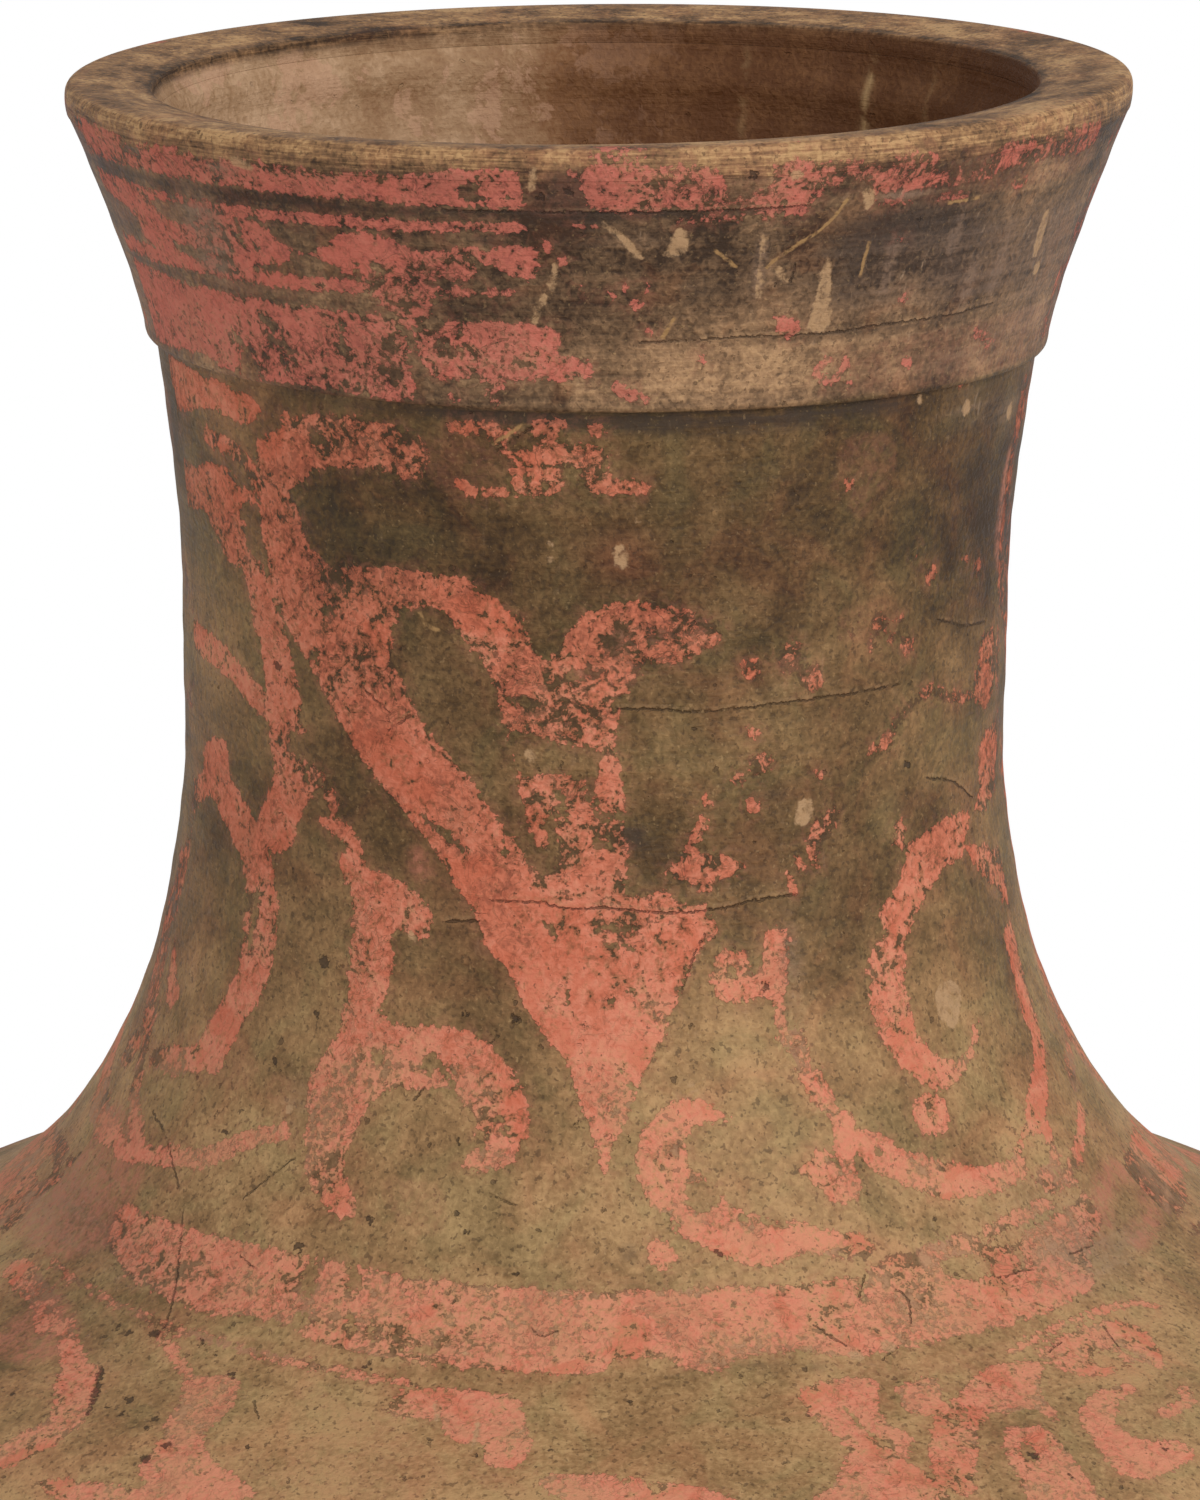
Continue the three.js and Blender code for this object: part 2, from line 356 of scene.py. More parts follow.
def work_by_hand(piece):
    """Moves the turned points as a hand and a slow wheel leave them: the rim and the strap's lower
    edge aren't quite level, the neck leans a little, the wall has shallow wheel ridges, and the
    inside keeps finger ridges. Every move depends on the place alone, so neighbours still meet."""
    x, y, z = read_points(piece).T
    azimuth = np.arctan2(x, -y)
    inner = inside_share(np.hypot(x, y), z)
    outer = 1 - inner
    out = outer * ripple(z, (0.05, 11, 0.2), (0.02, 5.3, 0.6), (0.12, 37, 0.1))
    out = out + outer * 0.14 * np.sin(3 * azimuth + z / 31) + outer * 0.1 * np.sin(5 * azimuth - z / 17)
    out = out + inner * ripple(z + 3 * np.sin(azimuth), (0.5, 13, 0.3), (0.25, 7.7, 0.8))
    steady = np.clip((z - 2) / 12, 0, 1)
    tilt = np.interp(z, (ledge_level - 40, ledge_level, lip_level), (0, -0.0125, 0.0094)) * x
    lean = np.interp(z, (300, 370, 440, 500), (-0.2, -0.5, -0.5, 0))
    ready = np.stack([
        x + steady * (out * np.sin(azimuth) + lean),
        y - steady * out * np.cos(azimuth),
        z + tilt,
    ], axis=-1)
    piece.data.vertices.foreach_set("co", (ready * MM).ravel())
    piece.data.update()


def soft_spots(spots, azimuth, down):
    """Adds up soft round patches, each of azimuth, millimetres down, its two half sizes and strength."""
    total = np.zeros_like(azimuth)
    for centre, level, wide, tall, strength in spots:
        away = ((azimuth - centre + 180) % 360 - 180) / wide
        total += strength * np.exp(-away ** 2 - ((down - level) / tall) ** 2)
    return total


# How the kiln and the ground left the clay: lighter khaki low on the neck and on the shoulder, dark
# olive under the strap, charcoal on the upper right. A few dark spots near the left and right edges of the
# view are painted shade where the jar turns away from the light. Azimuth in degrees, 0 in front, and
# the depth below the rim in millimetres.
tone_levels = (0, 12, 30, 42, 50, 75, 100, 125, 150, 180, 215, 260, 350, 480, 600)
tone_values = (0.34, 0.32, 0.36, 0.42, 0.27, 0.24, 0.36, 0.42, 0.60, 0.80, 0.82, 0.86, 0.7, 0.6, 0.5)
# The spots at (-46, 200), (68, 196) and (70, 160) darken the clay as painted shade on the sides turned
# away from the light.
tone_and_shade_spots = [
    (-6, 56, 16, 7, 0.10), (-26, 66, 12, 6, 0.08), (-48, 148, 10, 16, -0.08), (-64, 80, 16, 30, 0.22),
    (14, 101, 16, 7, 0.16), (17, 152, 12, 12, 0.16), (-38, 104, 6, 12, -0.16), (-62, 140, 14, 22, 0.04),
    (55, 147, 14, 16, 0.04), (15, 38, 26, 6, 0.24), (60, 70, 16, 22, -0.12), (60, 38, 18, 10, 0.20),
    (-22, 228, 9, 12, 0.12), (-38, 230, 5, 12, -0.14), (6, 222, 11, 12, -0.12), (-58, 52, 14, 10, 0.16),
    (50, 187, 20, 8, 0.05), (-20, 139, 8, 10, -0.14), (-46, 200, 14, 10, -0.22),
    (-56, 218, 8, 14, -0.20), (42, 22, 24, 9, 0.03), (36, 14, 12, 4, -0.12), (56, 24, 10, 6, -0.12),
    (-20, 165, 8, 8, 0.08), (68, 196, 9, 14, -0.14), (70, 160, 9, 24, -0.10), (56, 150, 10, 22, -0.07),
    (8, 120, 10, 7, -0.10), (-8, 103, 4, 3, 0.14), (-60, 196, 8, 8, -0.10), (30, 57, 24, 6, 0.06),
    (-55, 9.6, 44, 1.3, -0.22), (-55, 27.4, 34, 1.0, -0.16), (40, 14, 26, 8, -0.04),
    (15, 34.4, 30, 1.4, 0.14), (20, 41, 26, 4, 0.08),
]
dusty_spots = [
    (57, 200, 12, 10, 0.7), (26, 199, 16, 10, 0.2), (52, 187, 14, 5, 0.3), (-52, 198, 10, 8, 0.5),
    (-74, 60, 10, 30, 0.3), (-49, 18, 4, 9, 1.3), (-43, 5, 3, 2, 0.8), (-66, 140, 12, 30, 0.25),
    (-46, 218, 18, 12, 0.3), (18, 19, 0.8, 6, 0.9), (44, 22, 24, 13, 0.62), (53, 25, 0.8, 5, 1.0),
    (34.5, 22, 0.7, 4, 0.9), (43.2, 17, 0.7, 4, 0.9), (48, 27, 0.8, 4, 0.9), (66, 28, 10, 16, 0.5),
    (56, 52, 8, 5, 0.5), (-38, 166, 4, 6, 0.6), (52, 40, 14, 5, 0.4), (25, 93, 5, 5, 0.35),
    (26, 61, 3, 4, 0.3), (26, 140, 2.4, 12, 0.6), (4, 14, 5, 3, 0.35), (34, 8, 4, 1.2, 0.8),
    (69, 55, 6, 4, 0.6), (-70, 198, 10, 14, 0.6),
]
soot_spots = [
    (34, 15, 10, 5, 0.6), (46, 20, 9, 8, 0.45), (64, 14, 9, 8, 0.35), (-2, 5, 4, 4, 1.0),
    (-3, 13, 5, 5, 0.5), (-16, 5, 3, 1.8, 0.8), (-22, 2.9, 12, 0.6, 0.7), (24, 24, 10, 5, 0.25),
    (-30, 9.4, 42, 1.3, 0.6), (10, 9, 12, 0.8, 0.7), (-16, 26.6, 7, 1.8, 0.6), (-17, 21.4, 4, 1.4, 0.7),
    (-11, 14, 4, 1.5, 0.6), (20, 48, 30, 2.4, 1.0), (-12, 46.8, 26, 1.2, 0.7), (62, 66, 14, 24, 0.25),
    (-41, 69, 3, 6, 0.4), (8, 121, 5, 6, 0.45), (4.5, 117, 2, 3, 0.5), (3.2, 186.6, 1.7, 2.9, 0.46),
    (25, 211, 6, 3, 0.2), (16, 208.5, 5, 2.6, 0.55), (24, 112, 5, 3, 0.4), (48, 117, 7, 4, 0.35),
    (36, 33, 20, 0.8, 0.5), (30, 22, 5, 7, 0.4), (52, 28, 8, 3, 0.4), (12, 24, 6, 4, 0.35),
]
rust_spots = [
    (3, 70.6, 4.4, 4.4, 1.1), (-24, 124, 3, 3, 0.7), (50, 58, 6, 3, 0.4), (-3.5, 10, 1.6, 1.6, 1.0),
]
rosy_above = 47  # the clay from the ledge up is rosier, in millimetres down from the rim


def weather(piece, inner=None, lighter=0):
    """Tones that the fire, the soil and handling left on a piece, with painted shade in a few of the dark
    spots: light and dark, soot, dust, rust and the rosier mouth, and the stain, partly painted shade, and
    the dried runs on the inside, which inner marks."""
    x, y, z = read_points(piece).T
    azimuth = np.degrees(np.arctan2(x, -y))
    down = down_from_rim(z)
    tone = np.interp(down, tone_levels, tone_values) + soft_spots(tone_and_shade_spots, azimuth, down)
    carry(piece, "tone", tone + lighter)
    carry(piece, "soot", np.clip(soft_spots(soot_spots, azimuth, down), 0, 1))
    carry(piece, "dusty", np.clip(soft_spots(dusty_spots, azimuth, down), 0, 1))
    carry(piece, "rust", np.clip(soft_spots(rust_spots, azimuth, down), 0, 1))
    carry(piece, "inner", inside_share(np.hypot(x, y), z) if inner is None else inner)
    carry(piece, "rosy", np.clip((rosy_above - down) / 3, 0, 1))
    turned = azimuth % 360
    # The inside is darker on the right: partly a brown stain and partly painted shade where the light
    # doesn't reach.
    stain_and_shade_places = (0, 60, 110, 165, 180, 192, 240, 330, 360)
    carry(piece, "stain_and_shade", np.interp(turned, stain_and_shade_places, (0.6, 0.9, 1, 0.95, 0.75, 0.3, 0.05, 0.3, 0.6)))
    runs = ((139, 0.7, 1.0), (159, 0.4, 0.3), (127, 0.4, 0.25))
    wet = sum(strength * np.exp(-((turned - centre) / wide) ** 2) for centre, wide, strength in runs)
    carry(piece, "drip", wet * np.clip((down - 2) / 4, 0, 1) * np.clip((46 - down) / 20, 0, 1))


# Paint. The pattern is laid with a loaded brush as bands, strokes and filled patches, and what the
# painter left bare is listed as well. All are in azimuth and millimetres down from the rim.
def band(left, right, top, bottom):
    """A straight band round the jar or round part of it."""
    corners = ((left, top), (right, top), (right, bottom), (left, bottom))
    return {"points": corners, "half": 0, "closed": True, "curved": False}


def rounded(points, closed, cuts=4):
    """A smooth line through the points."""
    points = np.array(points, float)
    if len(points) < 3:
        return points
    if closed:
        around = np.vstack([points[-1:], points, points[:2]])
    else:
        around = np.vstack([2 * points[:1] - points[1:2], points, 2 * points[-1:] - points[-2:-1]])
    pieces = []
    for a, b, c, d in zip(around, around[1:], around[2:], around[3:]):
        for t in np.arange(cuts) / cuts:
            pieces.append(
                0.5 * (2 * b + (c - a) * t + (2 * a - 5 * b + 4 * c - d) * t * t
                       + (3 * b - a - 3 * c + d) * t ** 3)
            )
    if not closed:
        pieces.append(points[-1])
    return np.array(pieces)


def from_segment(start, end, azimuth, down, degree):
    """For each point: how far along the segment it lies, its millimetres to the left, and its length."""
    along_x = (end[0] - start[0]) * degree
    along_y = end[1] - start[1]
    from_x = (azimuth - start[0]) * degree
    from_y = down - start[1]
    length = np.sqrt(along_x ** 2 + along_y ** 2) + 1e-6
    along = (from_x * along_x + from_y * along_y) / length
    across = (from_x * along_y - from_y * along_x) / length
    return along, across, length


paint_reach = 4  # how far from a brush edge the depth is still counted, in millimetres


def depth_in(shape, azimuth, down, degree):
    """Millimetres inside the shape's edge, or outside it where negative. degree is one degree's width."""
    line = np.array(shape["points"], float)
    if shape["curved"]:
        line = rounded(line, shape["closed"])
    ends = np.roll(line, -1, axis=0) if shape["closed"] else line[1:]
    starts = line if shape["closed"] else line[:-1]
    nearest = np.full(len(azimuth), 1e9)
    within = np.zeros(len(azimuth), bool)
    for start, end in zip(starts, ends):
        along, across, length = from_segment(start, end, azimuth, down, degree)
        past = along - np.clip(along, 0, length)
        nearest = np.minimum(nearest, across ** 2 + past ** 2)
        if shape["closed"] and start[1] != end[1]:
            crosses = (start[1] > down) != (end[1] > down)
            share = (down - start[1]) / (end[1] - start[1])
            within ^= crosses & (azimuth < start[0] + share * (end[0] - start[0]))
    distance = np.sqrt(nearest)
    depth = np.where(within, distance, -distance) if shape["closed"] else shape["half"] - distance
    return np.minimum(depth, shape.get("most", paint_reach))


def close_by(points, margin, azimuth, down):
    """Which of the piece's points lie in the box round the given ones."""
    points = np.array(points, float)
    low = points.min(axis=0) - (margin, margin)
    high = points.max(axis=0) + (margin, margin)
    near = (azimuth > low[0]) & (azimuth < high[0]) & (down > low[1]) & (down < high[1])
    return np.nonzero(near)[0]


def deepest(shapes, azimuth, down, degree):
    """The greatest depth in any of the shapes, limited to the reach."""
    result = np.full(len(azimuth), -float(paint_reach))
    for shape in shapes:
        near = close_by(shape["points"], paint_reach + shape["half"] + 1, azimuth, down)
        if len(near):
            found = depth_in(shape, azimuth[near], down[near], degree[near])
            result[near] = np.maximum(result[near], found)
    return result


line_reach = 3  # how far to each side of a thin line its distance is stored, in millimetres


def carry_lines(piece, name, lines, azimuth, down, degree):
    """Stores millimetres across to the nearest thin line, and where that line is drawn."""
    nearest = np.full(len(azimuth), float(line_reach))
    offset = np.full(len(azimuth), 9.0)
    drawn = np.zeros(len(azimuth))
    for line in lines:
        near = close_by(line, line_reach + 1, azimuth, down)
        if not len(near):
            continue
        path = rounded(line, False)
        for start, end in zip(path, path[1:]):
            along, across, length = from_segment(start, end, azimuth[near], down[near], degree[near])
            past = np.abs(along - np.clip(along, 0, length))
            away = np.hypot(across, past)
            closer = away < nearest[near]
            spot = near[closer]
            nearest[spot] = away[closer]
            offset[spot] = across[closer]
            drawn[spot] = np.clip(1 - past[closer] / 0.8, 0, 1) * np.clip(2.6 - away[closer], 0, 1)
    carry(piece, name, offset)
    carry(piece, name + "_on", drawn)


seen_to = 74  # the front keeps what was painted there; past this the pattern repeats every third of a turn


def paint(piece, red=(), bare=(), wash=(), pale=(), dark=(), cracks=(), grazes=(), wear=(), worn=0.2):
    """Lays the pattern on a piece: full red, what is left bare in it, thin red wash, pale chips, dark
    marks, thin dark cracks, thin light grazes, and how worn the red is. The red is worn more at the
    back and where the repeats of the pattern meet."""
    x, y, z = read_points(piece).T
    azimuth = np.degrees(np.arctan2(x, -y))
    turn = np.where(azimuth > seen_to, -120, np.where(azimuth < -seen_to, 120, 0))
    unit = azimuth + turn
    down = down_from_rim(z)
    radius = np.hypot(x, y)
    degree = radius * np.pi / 180
    outside = skin_radius(z) - radius < 4
    hidden = np.where(outside, 0, -2.0 * paint_reach)
    full = np.minimum(deepest(red, unit, down, degree), -deepest(bare, unit, down, degree))
    carry(piece, "red", full + hidden)
    carry(piece, "wash", deepest(wash, unit, down, degree) + hidden)
    front = np.where(turn == 0, 0, -2.0 * paint_reach)
    carry(piece, "pale", deepest(pale, azimuth, down, degree) + hidden + front)
    carry(piece, "dark", deepest(dark, azimuth, down, degree) + hidden + front)
    shown = np.where(outside, azimuth, 999.0)
    carry_lines(piece, "crack", cracks, shown, down, degree)
    carry_lines(piece, "graze", grazes, shown, down, degree)
    behind = 0.25 * np.exp(-((np.abs(azimuth) - 180) / 8) ** 2)
    behind = behind + 0.3 * np.exp(-((np.abs(azimuth) - seen_to - 4) / 5) ** 2)
    carry(piece, "wear", np.clip(worn + soft_spots(wear, unit, down) + behind, 0.02, 0.98))


# The clay from dark to light, as pairs of a tone and a colour
vessel_shades = (
    (0.0, linear(59, 40, 21)),
    (0.25, linear(94, 69, 40)),
    (0.5, linear(128, 97, 62)),
    (0.75, linear(160, 123, 82)),
    (1.0, linear(189, 149, 103)),
)
olive_shades = ((0.0, linear(56, 46, 25)), (0.5, linear(114, 96, 59)), (1.0, linear(175, 149, 100)))
mouth_shades = ((0.0, linear(60, 44, 35)), (0.5, linear(128, 99, 78)), (1.0, linear(190, 149, 115)))
rust_shades = ((0.0, linear(78, 44, 26)), (0.5, linear(140, 95, 62)), (1.0, linear(196, 140, 98)))


class VesselClay(Finish):
    """The jar's clay and paint in layers. Each layer is a method, and the patterns they share are here."""

    def __init__(self, name, line_size, streaks):
        super().__init__(name)
        self.streaks = streaks
        self.tone = self.painted("tone")
        self.rosy = self.painted("rosy")
        self.soot = self.painted("soot")
        self.dusty = self.painted("dusty")
        self.cloud = self.mottle(36, 3, 0.55)
        self.hue = self.mottle(15, 4, 0.6, shift=17, swirl=0.8)
        self.blotch = self.mottle(9, 5, 0.62, shift=3, swirl=0.5)
        self.burnish = self.mottle(line_size, 5, 0.68, stretch=(0.25, 0.25, 4.5), shift=11)
        self.flake = self.mottle(2.7, 5, 0.68, shift=31, swirl=0.6)
        self.grain = self.mottle(1.0, 2, 0.5, shift=7, swirl=0.4)
        self.pinhole = self.mottle(0.95, 2, 0.5, shift=41)
        self.nibble = self.mottle(0.85, 2, 0.5, shift=37)
        self.held = self.flake * 0.72 + self.nibble * 0.28

    def fired(self, shades, above_ledge, green):
        """Clay as the fire and the ground left it: light and dark, olive, rusty, sooty and gritty."""
        uneven = (self.cloud - 0.5) * 0.8 + (self.blotch - 0.5) * 0.95 + (self.grain - 0.5) * 0.7
        uneven = uneven + (self.burnish - 0.5) * (self.streaks + self.rosy * 0.4)
        level = self.tone + uneven * (1 + self.rosy * 0.45)
        clay = self.mix(self.ramp(level, *shades), self.ramp(level, *above_ledge), self.rosy * 0.55)
        olive = self.hue.between(0.48, 0.64) * (1 - self.rosy * 0.9) * green
        clay = self.mix(clay, self.ramp(level, *olive_shades), olive)
        rusty = (1 - self.hue.between(0.36, 0.47)) * 0.42 + self.painted("rust")
        clay = self.mix(clay, self.ramp(level - 0.05, *rust_shades), rusty.at_most(1))
        sooty = self.soot * ((self.burnish - 0.5) * 3.0 + (self.blotch - 0.5) * 3.2 + 1)
        clay = self.mix(clay, linear(58, 45, 37), sooty.between(0.2, 0.85) * 0.8)
        grit = self.mottle(0.8, 2, 0.5, shift=23).between(0.64, 0.73)
        clay = self.mix(clay, linear(192, 156, 108), grit * (0.08 + self.tone * 0.5))
        return self.mix(clay, linear(66, 48, 32), (0.385 - self.pinhole).between(-0.01, 0.04) * 0.5)

    def holes(self):
        """Small round holes that burnt-out grit left."""
        distance, chance = self.cells(3.6, shift=29)
        return (chance * 0.36 - 0.235 - distance + (self.grain - 0.5) * 0.7).between(-0.04, 0.04)

    def red_cover(self):
        """Where red still lies, where it is lost from a stroke, and where it lies thin."""
        wear = self.painted("wear")
        edge = self.painted("red") + (self.flake - 0.5) * (1.6 + wear * 6)
        edge = edge + (self.nibble - 0.5) * (2.0 + wear * 2)
        inside_stroke = edge.between(-0.10, 0.10)
        near_edge = 1 - edge.between(0, 1.3)
        limit = 0.325 + wear * 0.40 + (self.blotch - 0.5) * 0.36 + near_edge * (0.04 + wear * 0.1)
        spare = self.held - limit
        pit = 0.30 + wear * 0.30 + (self.hue - 0.5) * 0.6 + (self.blotch - 0.5) * 0.4 - self.pinhole
        trail = self.mottle(4.2, 4, 0.62, shift=53, swirl=1.0)
        trail = (1 - (trail - 0.5).size().between(0.004, 0.026)) * self.blotch.between(0.55, 0.45)
        trail = trail * (wear * 1.6 + 0.15).at_most(0.8)
        whole = spare.between(-0.006, 0.009) * (1 - pit.between(-0.01, 0.025) * 0.7) * (1 - trail)
        laid = inside_stroke * whole
        lost = inside_stroke * (1 - laid)
        thin = spare.between(0.14, 0.0) * (0.45 + self.tone * 0.3)
        return laid, lost, thin

    def stained(self, clay, lost):
        """The clay darkened or left pinkish where red is lost, and tinted beside strokes and by wash."""
        pinkish = self.tone.between(0.4, 0.9) * self.hue.between(0.42, 0.56)
        clay = self.mix(clay, self.mix(linear(68, 46, 30), linear(196, 140, 110), pinkish), lost * 0.6)
        haze = self.painted("red").between(-3.4, 1.2) * self.flake.between(0.44, 0.62) * 0.30
        wash = self.painted("wash").between(-1.6, 1.8) * (self.held.between(0.40, 0.60) * 0.6 + 0.14)
        return self.mix(clay, linear(190, 120, 94), haze.at_least(wash))

    def red(self, clay, thin):
        """Iron red, rosier at the mouth and greyer in soot, with clay showing where it is rubbed."""
        warmth = (self.blotch - 0.5) * 1.3 + (self.grain - 0.5) * 1.1
        warmth = warmth + (self.cloud - 0.5) * 0.5 + (self.flake - 0.5) * 0.8
        red = self.ramp(
            self.tone + warmth,
            (0.05, linear(170, 96, 72)),
            (0.3, linear(206, 118, 89)),
            (0.48, linear(214, 127, 99)),
            (0.62, linear(221, 136, 108)),
            (0.9, linear(220, 145, 113)),
        )
        red = self.mix(red, linear(198, 98, 68), (1 - self.hue.between(0.37, 0.48)) * 0.42)
        red = self.mix(red, linear(192, 106, 98), self.rosy * 0.5)
        red = self.mix(red, linear(150, 86, 72), self.soot * 0.4)
        rubbed = (self.hue * 0.6 + self.flake * 0.4).between(0.50, 0.60) * (0.15 + self.tone * 0.25)
        return self.mix(red, clay, rubbed.at_least(thin))

    def dusted(self, colour):
        """A grey veil of old dust, with fine light streaks scraped down it."""
        veil = self.dusty * ((self.burnish - 0.5) * 2.2 + (self.grain - 0.5) * 1.2 + 0.8)
        colour = self.mix(colour, linear(150, 121, 101), veil.between(0.1, 1.1) * 0.62)
        scrape = self.mottle(1.5, 3, 0.6, stretch=(1, 1, 0.14), shift=67).between(0.60, 0.72)
        scrape = scrape * self.flake.between(0.45, 0.6) * (self.dusty * 0.8 + 0.1)
        return self.mix(colour, linear(178, 147, 118), scrape)

    def marked(self, colour):
        """Pale chips, dark marks, cracks with a light edge, and light grazes. Also how deep they are."""
        chip = self.painted("pale") + (self.nibble - 0.5) * 1.4 + (self.flake - 0.5) * 1.0
        chip = chip.between(-0.3, 0.3) * self.flake.between(0.26, 0.52)
        colour = self.mix(colour, linear(192, 153, 113), chip * 0.8)
        mark = self.painted("dark") + (self.nibble - 0.5) * 2.2 + (self.flake - 0.5) * 1.8
        mark = mark.between(0.0, 0.4)
        colour = self.mix(colour, linear(50, 37, 28), mark * 0.75)
        wander = (self.grain - 0.5) * 1.1 + (self.flake - 0.5) * 0.9
        beside = self.painted("crack") + wander
        broken = (self.blotch * 0.5 + self.grain * 0.5).between(0.40, 0.53)
        broken = broken * self.painted("crack_on").between(0.15, 0.6)
        crack = (1 - beside.size().between(0.04, 0.26)) * broken
        colour = self.mix(colour, linear(52, 38, 28), crack * 0.55)
        light_edge = (1 - (beside - 0.6).size().between(0.08, 0.4)) * broken
        colour = self.mix(colour, linear(178, 142, 104), light_edge * 0.18)
        graze = 1 - (self.painted("graze") + wander * 0.7).size().between(0.14, 0.48)
        graze = graze * self.painted("graze_on").between(0.15, 0.6) * self.flake.between(0.36, 0.52)
        colour = self.mix(colour, linear(176, 136, 88), graze * 0.8)
        return colour, mark * 0.5 + crack * 0.7 + chip * 0.15

    def inside(self):
        """The inside: darker brown on one side, partly stained and partly painted shade, with thin scale
        and dried runs on the other.
        """
        stain_and_shade = self.painted("stain_and_shade")
        level = (1 - stain_and_shade) * 0.9 + (self.cloud - 0.5) * 0.6
        level = level + (self.blotch - 0.5) * 0.8 + (self.grain - 0.5) * 0.5
        within = self.ramp(
            level,
            (0.0, linear(100, 61, 32)),
            (0.35, linear(136, 93, 58)),
            (0.7, linear(172, 134, 98)),
            (1.0, linear(208, 170, 134)),
        )
        scale = (self.hue * 0.7 + self.flake * 0.3).between(0.53, 0.56) * (1 - stain_and_shade)
        within = self.mix(within, linear(214, 166, 134), scale * 0.55)
        drip = self.painted("drip") * self.mottle(5, 3, 0.6, shift=59).between(0.42, 0.58)
        return self.mix(within, linear(196, 160, 112), drip * 0.75)


def painted_clay(name, shades, above_ledge, green=0.5, line_size=9, streaks=0.2):
    """Dark burnished clay with iron-red paint that has flaked, rubbed thin and taken up the soil. The
    mouth's rosier shades are above_ledge, and the burnisher's lines have a size and a strength."""
    finish = VesselClay(name, line_size, streaks)
    hole = finish.holes()
    clay = finish.mix(finish.fired(shades, above_ledge, green), linear(52, 38, 27), hole * 0.6)
    laid, lost, thin = finish.red_cover()
    clay = finish.stained(clay, lost)
    colour = finish.mix(clay, finish.red(clay, thin), laid)
    colour, sunk = finish.marked(finish.dusted(colour))
    finish.set("Base Color", finish.mix(colour, finish.inside(), finish.painted("inner")))
    finish.set("Roughness", 0.64 + laid * 0.2 + (finish.grain - 0.5) * 0.4)
    finish.set("Specular IOR Level", 0.27)
    height = (finish.grain - 0.5) * 0.5 + (finish.blotch - 0.5) * 0.55 + (finish.burnish - 0.5) * 0.5
    height = height + laid * 0.2 - sunk - hole * 0.4
    bump = finish.add("ShaderNodeBump", inputs={"Height": height, "Distance": 0.0007, "Strength": 1.0})
    finish.set("Normal", bump)
    return finish.material


vessel_clay = painted_clay("painted_clay", vessel_shades, mouth_shades)


def finish_piece(piece, node, material):
    """Gives the piece its finish and puts it in its node's place."""
    piece.data.materials.append(material)
    bpy.ops.object.select_all(action="DESELECT")
    piece.select_set(True)
    bpy.context.view_layer.objects.active = piece
    bpy.ops.object.shade_smooth_by_angle(angle=math.radians(38))
    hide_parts(node)
    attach(piece, "root")


# The foot ring itself, with a red stripe round its waist
stripe_top = 36
stripe_bottom = 24
foot_outline = np.vstack([foot_line, (foot_line - (foot_wall, 0))[::-1][::2]])
foot_ring = spun("turned_foot_ring", foot_outline, 360)
work_by_hand(foot_ring)
weather(foot_ring)
foot_stripe = band(-180, 180, down_from_rim(stripe_top), down_from_rim(stripe_bottom))
paint(foot_ring, red=[foot_stripe], worn=0.24)
finish_piece(foot_ring, "foot_ring", vessel_clay)

# Foot band: the thick lower edge of the foot, which takes the knocks. It is a strap of the same clay,
# pressed round the foot ring with slip and rounded over with a wet thumb.
band_levels = np.array((15, 12, 8, 4, 0))
band_seat = np.stack([skin_radius(band_levels) + slip, band_levels], axis=-1)
band_face = np.vstack([
    bend((105.3, 0), (107.3, 0), (107.3, 2), count=5),
    bend((107.3, 2), (102.5, 8), (99.6, 13), count=8)[1:],
    bend((99.6, 13), (99.2, 15), (97.6, 15), count=5)[1:],
])
foot_band = spun("pressed_foot_band", np.vstack([band_face, band_seat]), 360)
work_by_hand(foot_band)
weather(foot_band)
paint(foot_band, worn=0.4)
finish_piece(foot_band, "foot_band", vessel_clay)

# Floor disc: the slab that the bowl was built up from, beaten out flat on a board. Its edge slants, so
# that the first course of the bowl sits on it.
disc_step = 6
floor_side = bend((87, floor_underside), (87.6, 63), (94, floor_top), count=10)
disc_outline = np.vstack([
    [(radius, floor_underside) for radius in range(0, 84, disc_step)],
    floor_side,
    [(radius, floor_top) for radius in range(90, -1, -disc_step)],
])
floor_disc = spun("beaten_floor_disc", disc_outline, 192)
work_by_hand(floor_disc)
weather(floor_disc)
paint(floor_disc, worn=0.4)
finish_piece(floor_disc, "floor_disc", vessel_clay)

# Bowl: three courses of clay strap that open out from the floor to the girth. Each is scarfed to the
# one under it with slip and beaten thin between a paddle and a stone.
bowl_wall = 12
girth_wall = 10
neck_wall = 9
scarf = 5
scarf_fade = 24
wall_run = run_along(wall_line)


def on_wall(run):
    """Radius and height of the wall's outside at a run along it from the floor."""
    return np.stack([np.interp(run, wall_run, wall_line[:, axis]) for axis in (0, 1)], axis=-1)


def wall_thickness(height):
    """The wall is thickest at the floor and thins out to the neck."""
    bowl = np.interp(height, (floor_top, girth_level), (bowl_wall, girth_wall))
    upper = np.interp(height, (girth_level, waist_level), (girth_wall, neck_wall))
    return np.where(height < girth_level, bowl, upper)


def inside_wall(run):
    """The inside face opposite the outside. It sits higher by the scarf, so the joins slant."""
    inner = np.clip(np.minimum(run, wall_run[-1] - run) / scarf_fade, 0, 1)
    shifted = run + scarf * inner
    outside = on_wall(shifted)
    tangent = on_wall(shifted + 0.5) - on_wall(shifted - 0.5)
    tangent /= np.linalg.norm(tangent, axis=-1, keepdims=True)
    normal = np.stack([tangent[:, 1], -tangent[:, 0]], axis=-1)
    across = np.array((1, 0)) * (1 - inner)[:, None] + normal * inner[:, None]
    across /= np.linalg.norm(across, axis=-1, keepdims=True)
    reach = wall_thickness(outside[:, 1]) / np.sum(across * normal, axis=-1)
    return outside - across * reach[:, None]


def course_outline(low, high, grain):
    """The closed section of one course between two heights: up the outside, back down the inside."""
    start, end = np.interp((low, high), wall_line[:, 1], wall_run)
    outside = on_wall(np.linspace(start, end, max(3, round((end - start) / grain) + 1)))
    inside = inside_wall(np.linspace(end, start, max(3, round((end - start) / 3.0) + 1)))
    return np.vstack([outside, inside])


